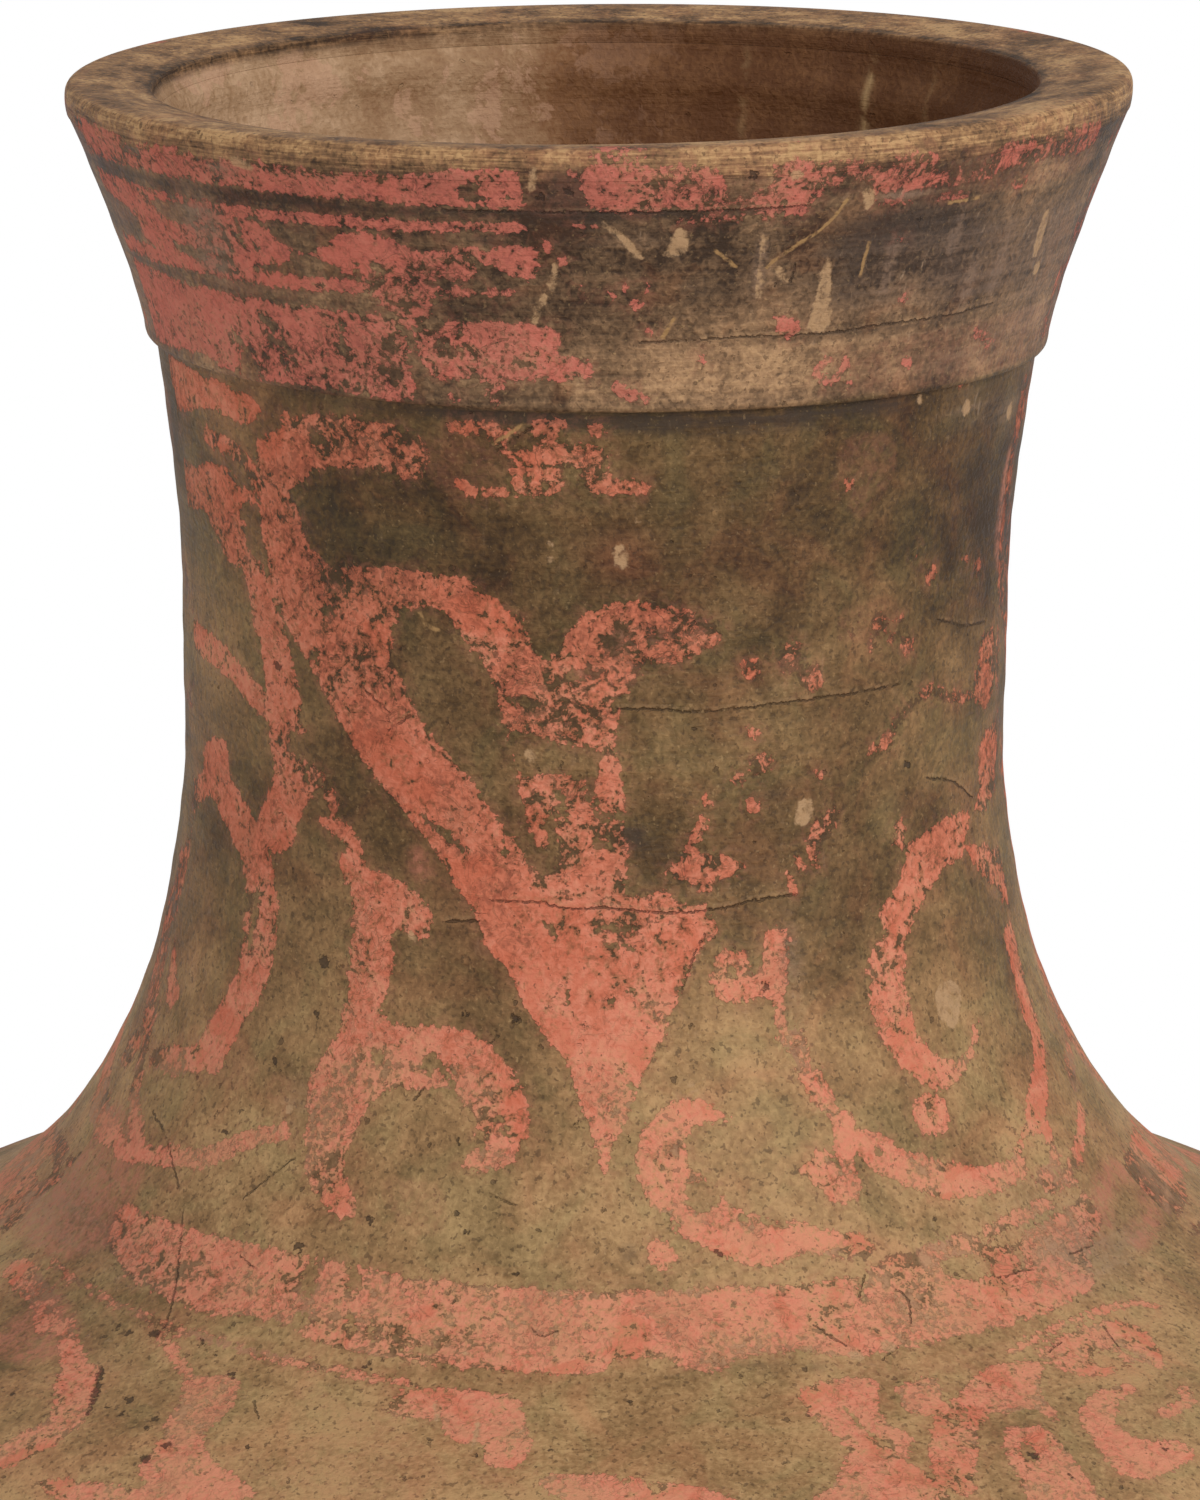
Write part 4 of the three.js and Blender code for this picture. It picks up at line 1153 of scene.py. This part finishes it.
neck_bare = [
    patch((-28.5, 86), (-27.5, 82.5), (-25.5, 80.5), (-22, 80), (-20, 81.5), (-18.5, 84), (-17, 86.5),
          (-15, 89), (-14, 92), (-13, 95), (-12.5, 99), (-11.5, 103), (-10.8, 106), (-10.6, 108),
          (-10, 112), (-9.4, 116), (-7.6, 119.5), (-5.5, 121), (-6, 123), (-7.5, 124), (-9.4, 122.4),
          (-10.3, 120), (-11.5, 118), (-13, 116), (-15, 113), (-16.5, 110), (-20, 105), (-23, 101.5),
          (-25, 98), (-26.5, 94), (-28, 90)),
    patch((-12.2, 100), (-9, 100.6), (-5, 101.6), (-2, 102.2), (0.4, 102.8), (0.4, 105), (-1.2, 107.6),
          (-3.4, 107.4), (-6, 107), (-9.7, 107.6), (-11.3, 104)),
    patch((-1.6, 107), (0.1, 105), (0.1, 113), (3.6, 113.4), (3.6, 114.6), (0.1, 114.8), (-1.4, 112)),
    patch((-0.6, 118), (1.4, 118), (1.6, 119.4), (-0.4, 119.8)),
    patch((-49, 81.5), (-46.8, 86), (-44.6, 90), (-42, 94), (-39, 99), (-35.5, 105), (-32, 110),
          (-43, 104), (-43.7, 100), (-44.8, 95), (-45.8, 91), (-47.2, 87)),
    patch((-55, 68.6), (-52.4, 68), (-50.4, 70), (-50.6, 73), (-53.6, 72)),
    patch((-12, 94), (-9.6, 94.2), (-9.2, 95.4), (-11.6, 95.6)),
    patch((-4, 89.6), (-1.6, 89.4), (-1.8, 91), (-3.6, 91)),
    patch((-22, 154.4), (-20.6, 154.6), (-20.3, 158), (-21.6, 158)),
    patch((9.6, 175.4), (13, 175.2), (13.2, 179), (10.6, 179.6)),
    stroke(1.2, (-24, 115.5), (-21, 118), (-18, 120.5)), stroke(1.0, (-12.5, 118), (-12.4, 121)),
    stroke(1.4, (-5.2, 110), (-4.6, 114)), stroke(1.6, (-6.2, 114.6), (-6, 119)),
    stroke(1.2, (0.4, 132.4), (4.6, 133.2)), stroke(1.0, (1, 135), (4.8, 136.2)),
    stroke(1.0, (-6.8, 132), (-5.6, 134)), stroke(0.8, (-43, 110), (-43, 114)),
    stroke(0.8, (-40.6, 111), (-40.4, 115)), stroke(1.2, (-52, 134), (-52.2, 143)),
    stroke(1.0, (-12, 164), (-10.8, 167)), stroke(1.0, (-20.4, 155.4), (-17, 160)),
    stroke(0.9, (-13.6, 167), (-13.6, 169)), stroke(1.0, (15, 181), (21, 183.4)),
    stroke(1.0, (7, 180.4), (8.6, 182)), stroke(0.8, (-3.6, 143), (-4, 146)), dab(1.8, 144.7, 1.2),
    dab(4, 143, 1.1), dab(3, 156, 1), dab(4, 158.4, 1), dab(-28, 156, 2.4), dab(-22.4, 121, 1.2),
    dab(-38.4, 53.4, 2.6), dab(-38, 83, 2.4), dab(-41.2, 91, 1.6), dab(-9, 57.6, 1.2),
    dab(-6.8, 58.8, 1), dab(7.4, 84.4, 1.2), dab(17.8, 140.8, 1.4), dab(42.6, 169, 1), dab(48, 182, 1.2),
    dab(33.6, 173, 1.4),
]
neck_wash = [
    faint(patch((-24, 176.6), (-18, 177), (-17, 183), (-20.6, 183))),
    patch((72, 64), (76, 64), (76, 82), (72, 81)),
    faint(patch((-22, 52.4), (-13, 52.6), (-13, 58.6), (-20, 59.4))),
    faint(patch((33, 54), (40, 54), (41, 60), (37, 66), (34, 62))),
    faint(patch((35, 83), (40, 83), (40, 87), (35, 87))),
    patch((-76, 178), (-60, 180), (-57, 190), (-57, 200), (-76, 200)),
    faint(patch((-56, 158), (-50, 158), (-46, 163), (-50, 166), (-57, 166))),
    patch((-26, 122), (-24, 121), (-22.5, 125), (-25, 126)),
    patch((-4, 88), (4, 88), (5, 92), (-2, 92)), faint(stroke(3, (-42, 164), (-37.6, 164))),
    faint(stroke(3, (-39.6, 169), (-37.6, 172))), faint(stroke(3, (-50, 163), (-47, 163))),
    faint(patch((-70, 178), (-52, 179), (-52, 185), (-70, 185))),
    faint(patch((-72, 187), (-62, 187), (-62, 190), (-72, 190))),
]
neck_pale = [
    patch((28, 113.8), (30, 113.4), (30.2, 116), (29, 117.6), (27.4, 117)),
    patch((2.2, 68.8), (3.8, 69), (3.8, 72), (2.4, 72.2)),
    patch((49, 149.5), (51.5, 148.3), (53.5, 149.5), (54, 151.5), (52.5, 154.5), (51, 156.5),
          (50, 155.5), (48.5, 153.5)),
    dab(55.4, 51.4, 2.4), dab(70, 55.2, 2.6), dab(-39, 167, 1.4), dab(11.5, 159, 1.6),
    dab(-25, 135.6, 1.3), dab(5, 64.5, 0.9), dab(-6, 68.5, 0.9), dab(-6, 71, 0.9), dab(45, 48, 1.2),
    dab(-9, 104, 1.8),
]
neck_dark = [
    dab(-48.3, 94.2, 1.9), dab(47.3, 110.8, 1.9), dab(-38, 142, 2.0), dab(-43, 160, 1.3),
    dab(-50, 171, 1.1), dab(-47.5, 173.5, 1.2), dab(-45, 128, 1.1), dab(-44.5, 132.5, 1),
    dab(-38, 151, 1.1), dab(-51.5, 143, 1), dab(-7.5, 136, 1), dab(-11, 139, 1), dab(-10.5, 147.7, 1.5),
    dab(-17, 147.5, 1.1), dab(-12.8, 150.5, 1.4), dab(-13.6, 168, 1), dab(-2.5, 165, 1.2),
    dab(3.7, 167.5, 1.1), dab(-21.3, 164, 1), dab(-16.3, 168.7, 1), dab(-9.2, 182.6, 1),
    dab(-14, 183.3, 1.1), dab(-15.4, 180.3, 0.9), dab(-12.5, 189.9, 1), dab(21.8, 143.4, 1.4),
    dab(-24, 86, 1), dab(-27, 88, 0.9), dab(-25, 183, 1.2), dab(12.6, 187, 1.4), dab(8.2, 170, 1.1),
]
neck_cracks = [
    ((3, 96), (8, 96.2), (13, 96.9), (20, 96.8), (27, 96.5), (45, 96.6)),
    ((-16, 128.5), (-8, 128.5), (-4, 129.4), (0, 129.2), (4, 129.6), (10, 130.3), (17, 130), (20, 129.4),
     (27, 129)),
    ((-20, 132.5), (-16, 132)), ((-33, 95), (-29, 98.5)), ((-31, 103), (-26, 99)),
    ((54, 87.5), (61, 90), (68, 91)), ((52, 114), (58, 116), (64, 120)),
    ((-62, 175), (-58, 177), (-54, 181), (-51, 184.5)), ((-36.5, 175), (-39, 179), (-41, 183)),
    ((14, 134.5), (12.5, 138), (11, 142.5)), ((-11.8, 176.8), (-9.5, 178.2)),
    ((-22.3, 162), (-21.5, 160.4)), ((-12.5, 52.7), (-8.4, 48.9)), ((-14.2, 152.6), (-13, 151.4)),
]
neck_grazes = [
    ((-12.9, 51.6), (-9.4, 48.4)), ((-24, 81.6), (-23.3, 83.2), (-21.8, 83.8)),
    ((10.6, 159.8), (12.4, 158.8)),
]
neck_wear = [
    (-33, 136, 6, 12, 0.14), (40, 140, 6, 24, 0.08), (-36, 82, 18, 26, 0.10), (14, 82, 4, 3, 0.2),
    (-6, 96, 10, 6, 0.28), (-10, 112, 12, 10, 0.08), (-30, 51, 12, 3.5, 0.24), (-30, 56, 10, 4, 0.16),
    (-38, 78, 4, 4, 0.32), (-33, 91, 6, 5, 0.18), (-22, 57, 4, 4, 0.16), (-12, 50, 8, 3, 0.20),
    (-2, 54, 7, 3, 0.24), (-2, 58, 8, 3, 0.20), (-60, 72, 12, 8, 0.14), (-54, 60, 8, 7, 0.14),
    (8, 83.5, 6, 4.5, 0.42), (2, 85, 2.4, 3, 0.44), (4, 90, 3, 2, 0.16), (24, 91, 8, 4, 0.3),
    (22, 107, 3, 3, 0.3), (-14, 86, 8, 7, 0.05), (1, 97, 4, 5, 0.06), (-3, 110, 3, 4, 0.12),
    (2, 116, 4, 5, 0.12), (-7, 122, 3, 3, 0.36), (3, 133, 5, 4, 0.14), (10, 134, 7, 6, 0.08),
    (1.4, 162, 2, 3, 0.24), (8, 169, 2.4, 5, 0.16), (10, 178, 3, 4, 0.12), (17, 182, 5, 2, 0.24),
    (24, 190, 6, 2, 0.2), (-33, 158, 7, 5, 0.12), (-33, 168, 4, 7, 0.26), (-32, 178, 6, 5, 0.16),
    (-70, 170, 6, 10, 0.3), (-15, 160, 6, 6, 0.16), (-12, 168, 4, 5, 0.20), (-41, 112, 5, 5, 0.18),
    (-49, 120, 6, 6, 0.06), (-51, 138, 4, 9, 0.18), (-66, 166, 10, 5, 0.12), (-74, 138, 6, 18, 0.24),
    (-50, 177, 12, 6, 0.18), (32, 119, 6, 8, 0.2), (14, 123, 8, 4, 0.14), (20, 141, 8, 6, 0.16),
    (26, 156, 4, 12, 0.16), (28, 177, 3, 4, 0.20), (40, 178, 8, 3, 0.08), (57, 183, 6, 4, 0.2),
    (44, 124, 3, 3, 0.14), (40, 148, 4, 12, 0.04), (52, 103, 14, 5, 0.20), (70, 98, 8, 8, 0.12),
    (72, 118, 8, 10, 0.16), (70, 135, 8, 6, 0.14), (60, 186, 8, 5, 0.24), (44, 90, 26, 26, 0.24),
    (44, 87, 12, 8, 0.10), (62, 80, 10, 6, 0.12), (-46, 106, 3, 3, 0.3), (-28, 72, 20, 2, 0.05),
]
neck_makes = (
    ("neck_root_course", neck_join_level, 382, 0.9, 720),
    ("neck_middle_course", 382, 415, 0.85, 560),
    ("neck_top_course", 415, ledge_level, 0.85, 560),
)
for node, low, high, grain, steps in neck_makes:
    neck_course = spun(f"scraped_{node}", course_outline(low, high, grain), steps)
    work_by_hand(neck_course)
    weather(neck_course)
    paint(
        neck_course,
        red=neck_red + neck_band,
        bare=neck_bare + neck_band_bare,
        wash=neck_wash + shoulder_wash,
        pale=neck_pale + shoulder_pale,
        dark=neck_dark + shoulder_dark,
        cracks=neck_cracks + shoulder_cracks,
        grazes=neck_grazes,
        wear=neck_wear + shoulder_wear,
        worn=0.08,
    )
    finish_piece(neck_course, node, vessel_clay)

# Mouth wall: the last course of the wall, flared out to carry the strap and the lip. It shows only
# inside the mouth, where it was left unpainted and has taken up a brown stain, deepened on one side by
# painted shade.
mouth_wall = spun("flared_mouth_wall", course_outline(ledge_level, lip_seat - slip, 3), 360)
work_by_hand(mouth_wall)
weather(mouth_wall)
paint(mouth_wall)
finish_piece(mouth_wall, "mouth_wall", vessel_clay)

# Mouth strap: a tapered strap of clay pressed round the mouth wall and flared to the lip, with a ledge
# under it. Its paint is four red rings with a row of peaks between them, worn off on the right.
strap_top = lip_seat - slip
strap_seat = np.stack([
    np.interp(np.linspace(ledge_level, strap_top, 12), wall_line[:, 1], wall_line[:, 0]) + slip,
    np.linspace(ledge_level, strap_top, 12),
], axis=-1)
strap_front = bend((77, 468.4), (79.2, 481), (89.6, strap_top), count=50)
strap_corner = bend((76.1, ledge_level), (76.9, ledge_level), (77, 468.4), count=6)[:-1]
strap_outline = np.vstack([strap_corner, strap_front, strap_seat[::-1]])
mouth_strap = spun("flared_mouth_strap", strap_outline, 620)
work_by_hand(mouth_strap)
weather(mouth_strap)
collar_red = [
    patch((-80, 2.4), (-62, 2.2), (-58, 3), (-50, 2.4), (-44, 3.4), (-38, 2.4), (-30, 3.2), (-24, 3),
          (-18, 2.6), (-16, 1.8), (-12, 1.6), (-8.4, 1.6), (-7.8, 4), (-8.2, 8.2), (-16, 8.2), (-37, 8),
          (-58, 8), (-80, 7.8)),
    stroke(1.4, (-2.8, 1.6), (-1.8, 2.2)),
    patch((-1.2, 0.6), (5, 0.4), (5.6, 1.2), (12, 1.2), (12.4, 8.4), (5, 8.6), (-0.6, 8.2)),
    patch((12, 5), (17.8, 5), (18, 1.2), (23, 1.2), (23.4, 8), (17, 8.4), (12, 8.4)),
    patch((23, 1.2), (29, 1.6), (37, 1.2), (37.4, 7.2), (30, 7.6), (29, 5.4), (23, 5)),
    patch((37.4, 4), (46, 4.2), (46, 7.6), (37.4, 7.8)),
    patch((46, 1.4), (57, 1), (66, 1.4), (66, 6), (54, 5.6), (47, 6)),
    patch((-80, 11.4), (-60, 11.5), (-45, 11.7), (-30, 11.3), (-16, 11.4), (-15, 12.8), (-26, 13.2),
          (-45, 13.4), (-80, 13.4)),
    stroke(1.7, (-15.6, 11.8), (-8, 11.7)), stroke(1.1, (-2, 11.4), (0, 11.4)),
    stroke(1.2, (8, 10.2), (15, 10)), stroke(1.6, (15, 9.9), (22, 9.6)),
    stroke(1.1, (31, 9.4), (35, 9.4)), stroke(1.1, (39, 9.4), (44, 9.5)),
    stroke(1.4, (51, 9.2), (53, 9.2)),
    patch((-80, 12.6), (-66, 12.6), (-45, 12.8), (-41.4, 13.4), (-38.6, 15), (-38, 17), (-36.4, 18),
          (-36.4, 20.6), (-40.6, 22), (-44, 24.4), (-50, 24.6), (-58, 24.4), (-64, 22), (-66.4, 16.6),
          (-72, 15.6), (-80, 15.6)),
    patch((-35.4, 19), (-33, 18.4), (-31, 17), (-29, 15), (-26, 14), (-22, 15.5), (-20, 18), (-20.5, 20),
          (-22, 22), (-24, 21.6), (-26, 20.6), (-27, 22.8), (-29.4, 21.6), (-31.4, 20)),
    patch((-15.8, 16.2), (-11, 15.8), (-10.2, 15.4), (-6.8, 15.4), (-6.4, 18), (-7, 21), (-9.6, 20.6),
          (-11.4, 19)),
    stroke(1.3, (-5.5, 14.6), (-5.3, 16.4)),
    patch((-22, 17.4), (-18, 16.8), (-14, 17), (-13.6, 20.6), (-17, 21.8), (-21.6, 21)),
    patch((-26, 22), (-23, 21.6), (-19.6, 22.4), (-19.6, 29.6), (-23, 29.4), (-26, 25)),
    dab(-3.8, 18, 1.2),
    patch((-80, 23), (-62, 23.2), (-44, 23.2), (-30, 23), (-25, 23.2), (-25, 25), (-40, 25.7),
          (-60, 25.8), (-80, 25.8)),
    stroke(1.6, (-18.6, 24), (-10, 23.6)), dab(-2, 22.7, 1.1), dab(3, 22.7, 1.1),
    patch((-80, 28.4), (-56, 28.6), (-31, 28.8), (-22.4, 29.4), (-22.8, 30.8), (-27.6, 30.8), (-28, 34),
          (-27.5, 38), (-27.6, 43), (-38, 43), (-49, 43), (-56, 42), (-56, 41), (-80, 41.2)),
    patch((-28, 30.4), (-24, 30.6), (-22.6, 33), (-23, 38), (-22.6, 42.6), (-28, 43)),
    patch((-20.4, 30), (-5, 29.8), (-4.6, 34.6), (-1.4, 35.2), (-1, 38.4), (-5, 39), (-11, 39.4),
          (-12, 43.6), (-13.4, 43.4), (-14, 39.6), (-20, 39)),
    patch((21, 29.8), (23, 29.6), (24.2, 31.4), (23, 33), (21.4, 32)),
    stroke(1.5, (28.4, 37.4), (27.2, 39), (28, 40.8), (29.6, 41), (30.8, 39.4), (31, 37.6)),
    dab(-17.5, 42.8, 1.4), dab(-23, 43, 1.2), dab(2.4, 40.4, 2), dab(4, 41.6, 2.2), dab(5.8, 42.8, 1.4),
    dab(12.2, 35.7, 1.5), dab(35, 16.7, 1.1), dab(37.5, 27.5, 1.4), dab(1.6, 24, 1.2),
    dab(4.2, 25.6, 1.6), dab(5.4, 22.6, 1.0), dab(21, 29, 1.0), dab(40.5, 39.5, 2), dab(52.4, 36.4, 1.8),
    dab(54.8, 38, 2.4), dab(6, 30.5, 1.1), dab(32, 41.6, 1.2), dab(56.4, 39, 1.6),
]
collar_bare = [
    patch((13.4, 2), (17, 1.8), (17.2, 5.4), (13.6, 5.8)),
    patch((12.8, -1), (17.4, -1), (17.2, 1.2), (13, 1.2)),
    patch((-14.2, 4), (-12.2, 3.8), (-12, 6.2), (-9, 6.2), (-9, 7), (-14, 7)),
    patch((-60, 3.4), (-57, 3.4), (-57, 5), (-60, 5)),
    patch((-59.2, 13.6), (-55, 13), (-49.5, 13), (-50.5, 16), (-54, 17.3), (-57, 16)),
    patch((-38, 14), (-32, 13.8), (-32.6, 17), (-36.5, 17.2)),
    patch((-56, 21.2), (-50, 21), (-50.4, 23), (-55, 23)),
    patch((-40.5, 22.8), (-37, 20.8), (-34, 19.2), (-31, 20.5), (-30, 22.6), (-34, 22.8)),
    stroke(1.1, (-43, 14), (-43.2, 18)), stroke(0.9, (-41, 18), (-41, 19.6)),
    stroke(1.2, (-27.6, 20), (-27.4, 22.4)), stroke(1.0, (-25.4, 20), (-24.8, 22)),
    patch((-49, 39.4), (-46.2, 39.2), (-46, 43.6), (-49, 43.6)),
    stroke(1.8, (-49, 36.6), (-47.4, 38.6)), stroke(1.4, (-43.6, 32.4), (-40.8, 33.6)),
    stroke(1.8, (-42.4, 35.4), (-39.4, 37.4)), stroke(1.2, (-31, 32), (-31.4, 36)),
    stroke(1.1, (-41, 39), (-41, 42)), stroke(0.8, (-20, 30.4), (-15.4, 31)),
    stroke(0.8, (-19, 33), (-15.6, 34.6)), dab(7.4, 2.8, 1.6), dab(9, 4, 1.2),
]
collar_pale = [
    patch((25.8, 19.2), (26.6, 19.2), (27.2, 25), (27.9, 31.2), (25.2, 31.4), (25.4, 26)),
    patch((28.7, 6.5), (30, 6.6), (30.5, 9.2), (29.6, 10.2)),
    patch((59.6, 16.5), (61.3, 17), (61.8, 24), (60.4, 24)),
    stroke(1.0, (-4.6, 18.6), (-5.2, 22.6)), stroke(1.1, (-6, 24), (-7.2, 28.8)),
    stroke(1.1, (-6.4, 1.2), (-6.8, 4.4)), stroke(0.8, (18, 14), (18.2, 24.6)),
    stroke(1.0, (0.6, 10.8), (2.6, 13.4), (4.6, 17.2)),
    patch((8.4, 12.2), (9.2, 12.6), (9.6, 16.4), (7, 17), (7.6, 15)),
    stroke(1.2, (20.2, 20.2), (21.2, 22.2)), stroke(1.6, (-40.6, 3), (-38.6, 3.6)), dab(20.6, 3, 1.8),
    dab(63, 27, 2.2),
]
collar_dark = [
    dab(16, 2.6, 1.5), dab(37, 13, 1.2), dab(20, 22.8, 1.0), dab(-6, 6, 1.6), dab(-3, 5, 1.4),
]
collar_cracks = [
    ((5, 32.4), (16, 32.1), (28, 32.5), (36, 32), (45, 32.1), (54, 31.6)),
    ((-16, 9), (-4, 8.8), (10, 8.9), (22, 8.7)), ((22.2, 20), (22, 22.4)),
]
collar_grazes = [
    ((27, 8.5), (26, 11), (24.5, 13.5), (22.5, 15.5), (20.5, 17.5), (19, 19.5)),
    ((31, 16.8), (30.8, 22)), ((13, 16.5), (15, 19)), ((8.6, 28.6), (7.6, 31.4)),
    ((41, 10.8), (45, 10.6)),
]
collar_wash = [
    faint(patch((-8, 1), (-1, 1), (-1, 8), (-8, 8))), faint(patch((12, 1), (18, 1), (18, 8), (12, 8))),
    faint(patch((30, 2), (46, 2), (46, 8), (30, 8))), faint(patch((46, 6), (66, 6), (66, 9), (46, 9))),
    faint(patch((-80, 16), (-66, 16), (-66, 19), (-80, 19))),
    faint(patch((35, 36), (74, 36), (74, 43), (35, 43))),
    faint(stroke(2, (-50, 27), (-43, 27))),
]
collar_wear = [
    (-50, 5, 20, 3, 0.14), (26, 4, 16, 4, 0.14), (-40, 37, 9, 6, 0.20), (-47, 41, 3, 3, 0.2),
    (-31, 38, 4, 6, 0.12), (-25.4, 37, 2, 6, 0.36), (-18, 19.4, 4, 3, 0.36), (-23, 25.5, 3, 4, 0.34),
    (15, 7, 3, 2, 0.28), (-12, 36, 9, 6, 0.12), (-17.5, 33, 3, 4, 0.30), (-62, 18, 10, 5, 0.10),
    (-47, 20, 5, 7, 0.20), (8, 3, 3, 3, 0.22), (27, 3.5, 3, 3, 0.24), (33, 4, 5, 4, 0.12),
    (42, 6, 5, 3, 0.36), (58, 4, 10, 4, 0.40), (-14, 24, 6, 3, 0.16), (10, 10.5, 8, 2, 0.26),
    (-30, 12.4, 14, 1.5, 0.1), (-52, 12.5, 10, 3, 0.10), (-10, 42, 8, 3, 0.12), (54, 37, 6, 4, 0.24),
    (42, 9.5, 14, 2, 0.2), (-30, 4, 20, 1.5, 0.12), (-65, 29, 14, 2, 0.1), (-26, 22, 3, 2, 0.16),
]


def paint_collar(piece):
    """The rings and peaks, which lap from the strap over the lower edge of the lip."""
    paint(
        piece,
        red=collar_red,
        bare=collar_bare,
        wash=collar_wash,
        pale=collar_pale,
        dark=collar_dark,
        cracks=collar_cracks,
        grazes=collar_grazes,
        wear=collar_wear,
        worn=0.1,
    )


paint_collar(mouth_strap)
finish_piece(mouth_strap, "mouth_strap", vessel_clay)

# Lip coil: a coil pressed on top of the mouth, its face sloping a little inwards and rubbed down to the
# tan clay. The uppermost red ring laps over its lower edge.
lip_shades = (
    (0.0, linear(66, 46, 31)),
    (0.25, linear(104, 76, 50)),
    (0.5, linear(140, 104, 72)),
    (0.75, linear(171, 129, 88)),
    (1.0, linear(203, 160, 112)),
)
lip_foot = lip_seat - 0.25
lip_outline = np.vstack([
    bend((89.7, lip_foot), (90, 507), (90, lip_level), count=5),
    bend((90, lip_level), (90, 510.2), (88.6, 510.5), count=9)[1:],
    bend((88.6, 510.5), (85.6, 510.8), (80.5, 510.1), (75.7, 509.2), count=12)[1:],
    bend((75.7, 509.2), (74.5, 509.2), (74.5, 508), count=5)[1:],
    bend((74.5, 508), (73.9, 507), (73.9, lip_foot), count=4)[1:],
    [(78, lip_foot), (82, lip_foot), (86, lip_foot)],
])
lip_coil = spun("pressed_lip_coil", lip_outline, 620)
work_by_hand(lip_coil)
lip_x, lip_y, lip_z = read_points(lip_coil).T
lip_radius = np.hypot(lip_x, lip_y)
rub_places = (74.7, 75.7, 76.5, 78, 84, 88, 89.4)
rub = np.interp(lip_radius, rub_places, (-0.06, -0.08, 0.14, 0.30, 0.28, 0.32, 0.42))
rub_above = 506.4  # the rubbing fades out below this height
weather(
    lip_coil,
    inner=np.clip((74.9 - lip_radius) / 0.5, 0, 1),
    lighter=rub * np.clip((lip_z - rub_above) / 2, 0.2, 1),
)
paint_collar(lip_coil)
lip_clay = painted_clay("rubbed_lip_clay", lip_shades, lip_shades, green=0.1, line_size=2.4, streaks=0.9)
finish_piece(lip_coil, "lip_coil", lip_clay)


# Luting coils: soft coils of the same clay, pressed by finger over the main joins where they don't
# show: at the neck, the girth and the floor inside the jar, and inside the foot. They are rougher than
# the wall, with a row of finger presses along them.
def luting_clay(name):
    finish = Finish(name)
    blotch = finish.mottle(8, 5, 0.65, shift=2)
    grain = finish.mottle(1.5, 4, 0.65, shift=6)
    shade = (blotch * 0.6 + grain * 0.4).between(0.36, 0.64)
    colour = finish.mix(linear(82, 64, 48), linear(140, 112, 84), shade)
    finish.set("Base Color", colour)
    finish.set("Roughness", 0.86)
    finish.set("Specular IOR Level", 0.25)
    height = (grain - 0.5) * 0.5 + (blotch - 0.5) * 1.2
    finish.set("Normal", finish.add("ShaderNodeBump", inputs={"Height": height, "Distance": 0.001}))
    return finish.material


coil_clay = luting_clay("luting_clay")
coil_steps = 240
finger_presses = 34
press_depth = 0.9
coil_bed = 0.6


def pressed_coil(node, seat, crest):
    """A coil between its seat on the wall and its crest, with a row of finger presses along it."""
    seat = np.array(seat, float)
    crest = bend(*crest, count=14)
    outline = np.vstack([seat, crest[1:-1]])
    coil = spun(f"pressed_{node}", outline, coil_steps)
    x, y, z = read_points(coil).T
    azimuth = np.arctan2(x, -y)
    radius = np.hypot(x, y)
    middle = seat[[0, -1]].mean(axis=0)
    away = np.min([np.hypot(radius - a, z - b) for a, b in seat], axis=0)
    raised = np.clip(away / 4, 0, 1)
    waver = 0.6 * np.sin(3 * azimuth)
    deep = press_depth * raised * (0.5 + 0.5 * np.sin(finger_presses * azimuth + waver))
    toward = np.stack([middle[0] - radius, middle[1] - z], axis=-1)
    toward /= np.linalg.norm(toward, axis=-1, keepdims=True) + 1e-6
    radius_new = radius + toward[:, 0] * deep
    ready = np.stack([x / radius * radius_new, y / radius * radius_new, z + toward[:, 1] * deep], axis=-1)
    coil.data.vertices.foreach_set("co", (ready * MM).ravel())
    coil.data.update()
    finish_piece(coil, node, coil_clay)


def inside_at(height):
    """The inside face's radius at a height, found from the wall's own inside line."""
    line = inside_wall(np.linspace(0, wall_run[-1], 900))
    return np.interp(height, line[:, 1], line[:, 0])


def wall_coil(node, level):
    """A coil over a join of the wall, as high as two fingers."""
    reach = 11
    rise = 4.6
    heights = np.linspace(level - reach, level + reach, 7)
    seat = [(inside_at(height) - coil_bed, height) for height in heights]
    (low_radius, low), (high_radius, high) = seat[0], seat[-1]
    upper = (high_radius - rise, high - 5)
    lower = (low_radius - rise, low + 5)
    pressed_coil(node, seat, (seat[-1], upper, lower, seat[0]))


wall_coil("girth_coil", girth_level + 4)
wall_coil("neck_coil", neck_join_level + 3)
corner = inside_at(floor_top + 2)
coil_top = floor_top + 9
at_wall = (inside_at(coil_top) - 1.4, coil_top)
on_floor = (corner - 13, floor_top + coil_bed)
in_corner = (corner - 3, floor_top + coil_bed)
floor_bulge = (corner - 4, floor_top + 4)
pressed_coil("floor_coil", [on_floor, in_corner, at_wall], (at_wall, floor_bulge, on_floor))
under_floor = (62.5, floor_underside - coil_bed)
foot_corner = (76, floor_underside - coil_bed)
on_foot = (76, 43)
foot_bulge = (73, 53)
pressed_coil("foot_coil", [under_floor, foot_corner, on_foot], (on_foot, foot_bulge, under_floor))
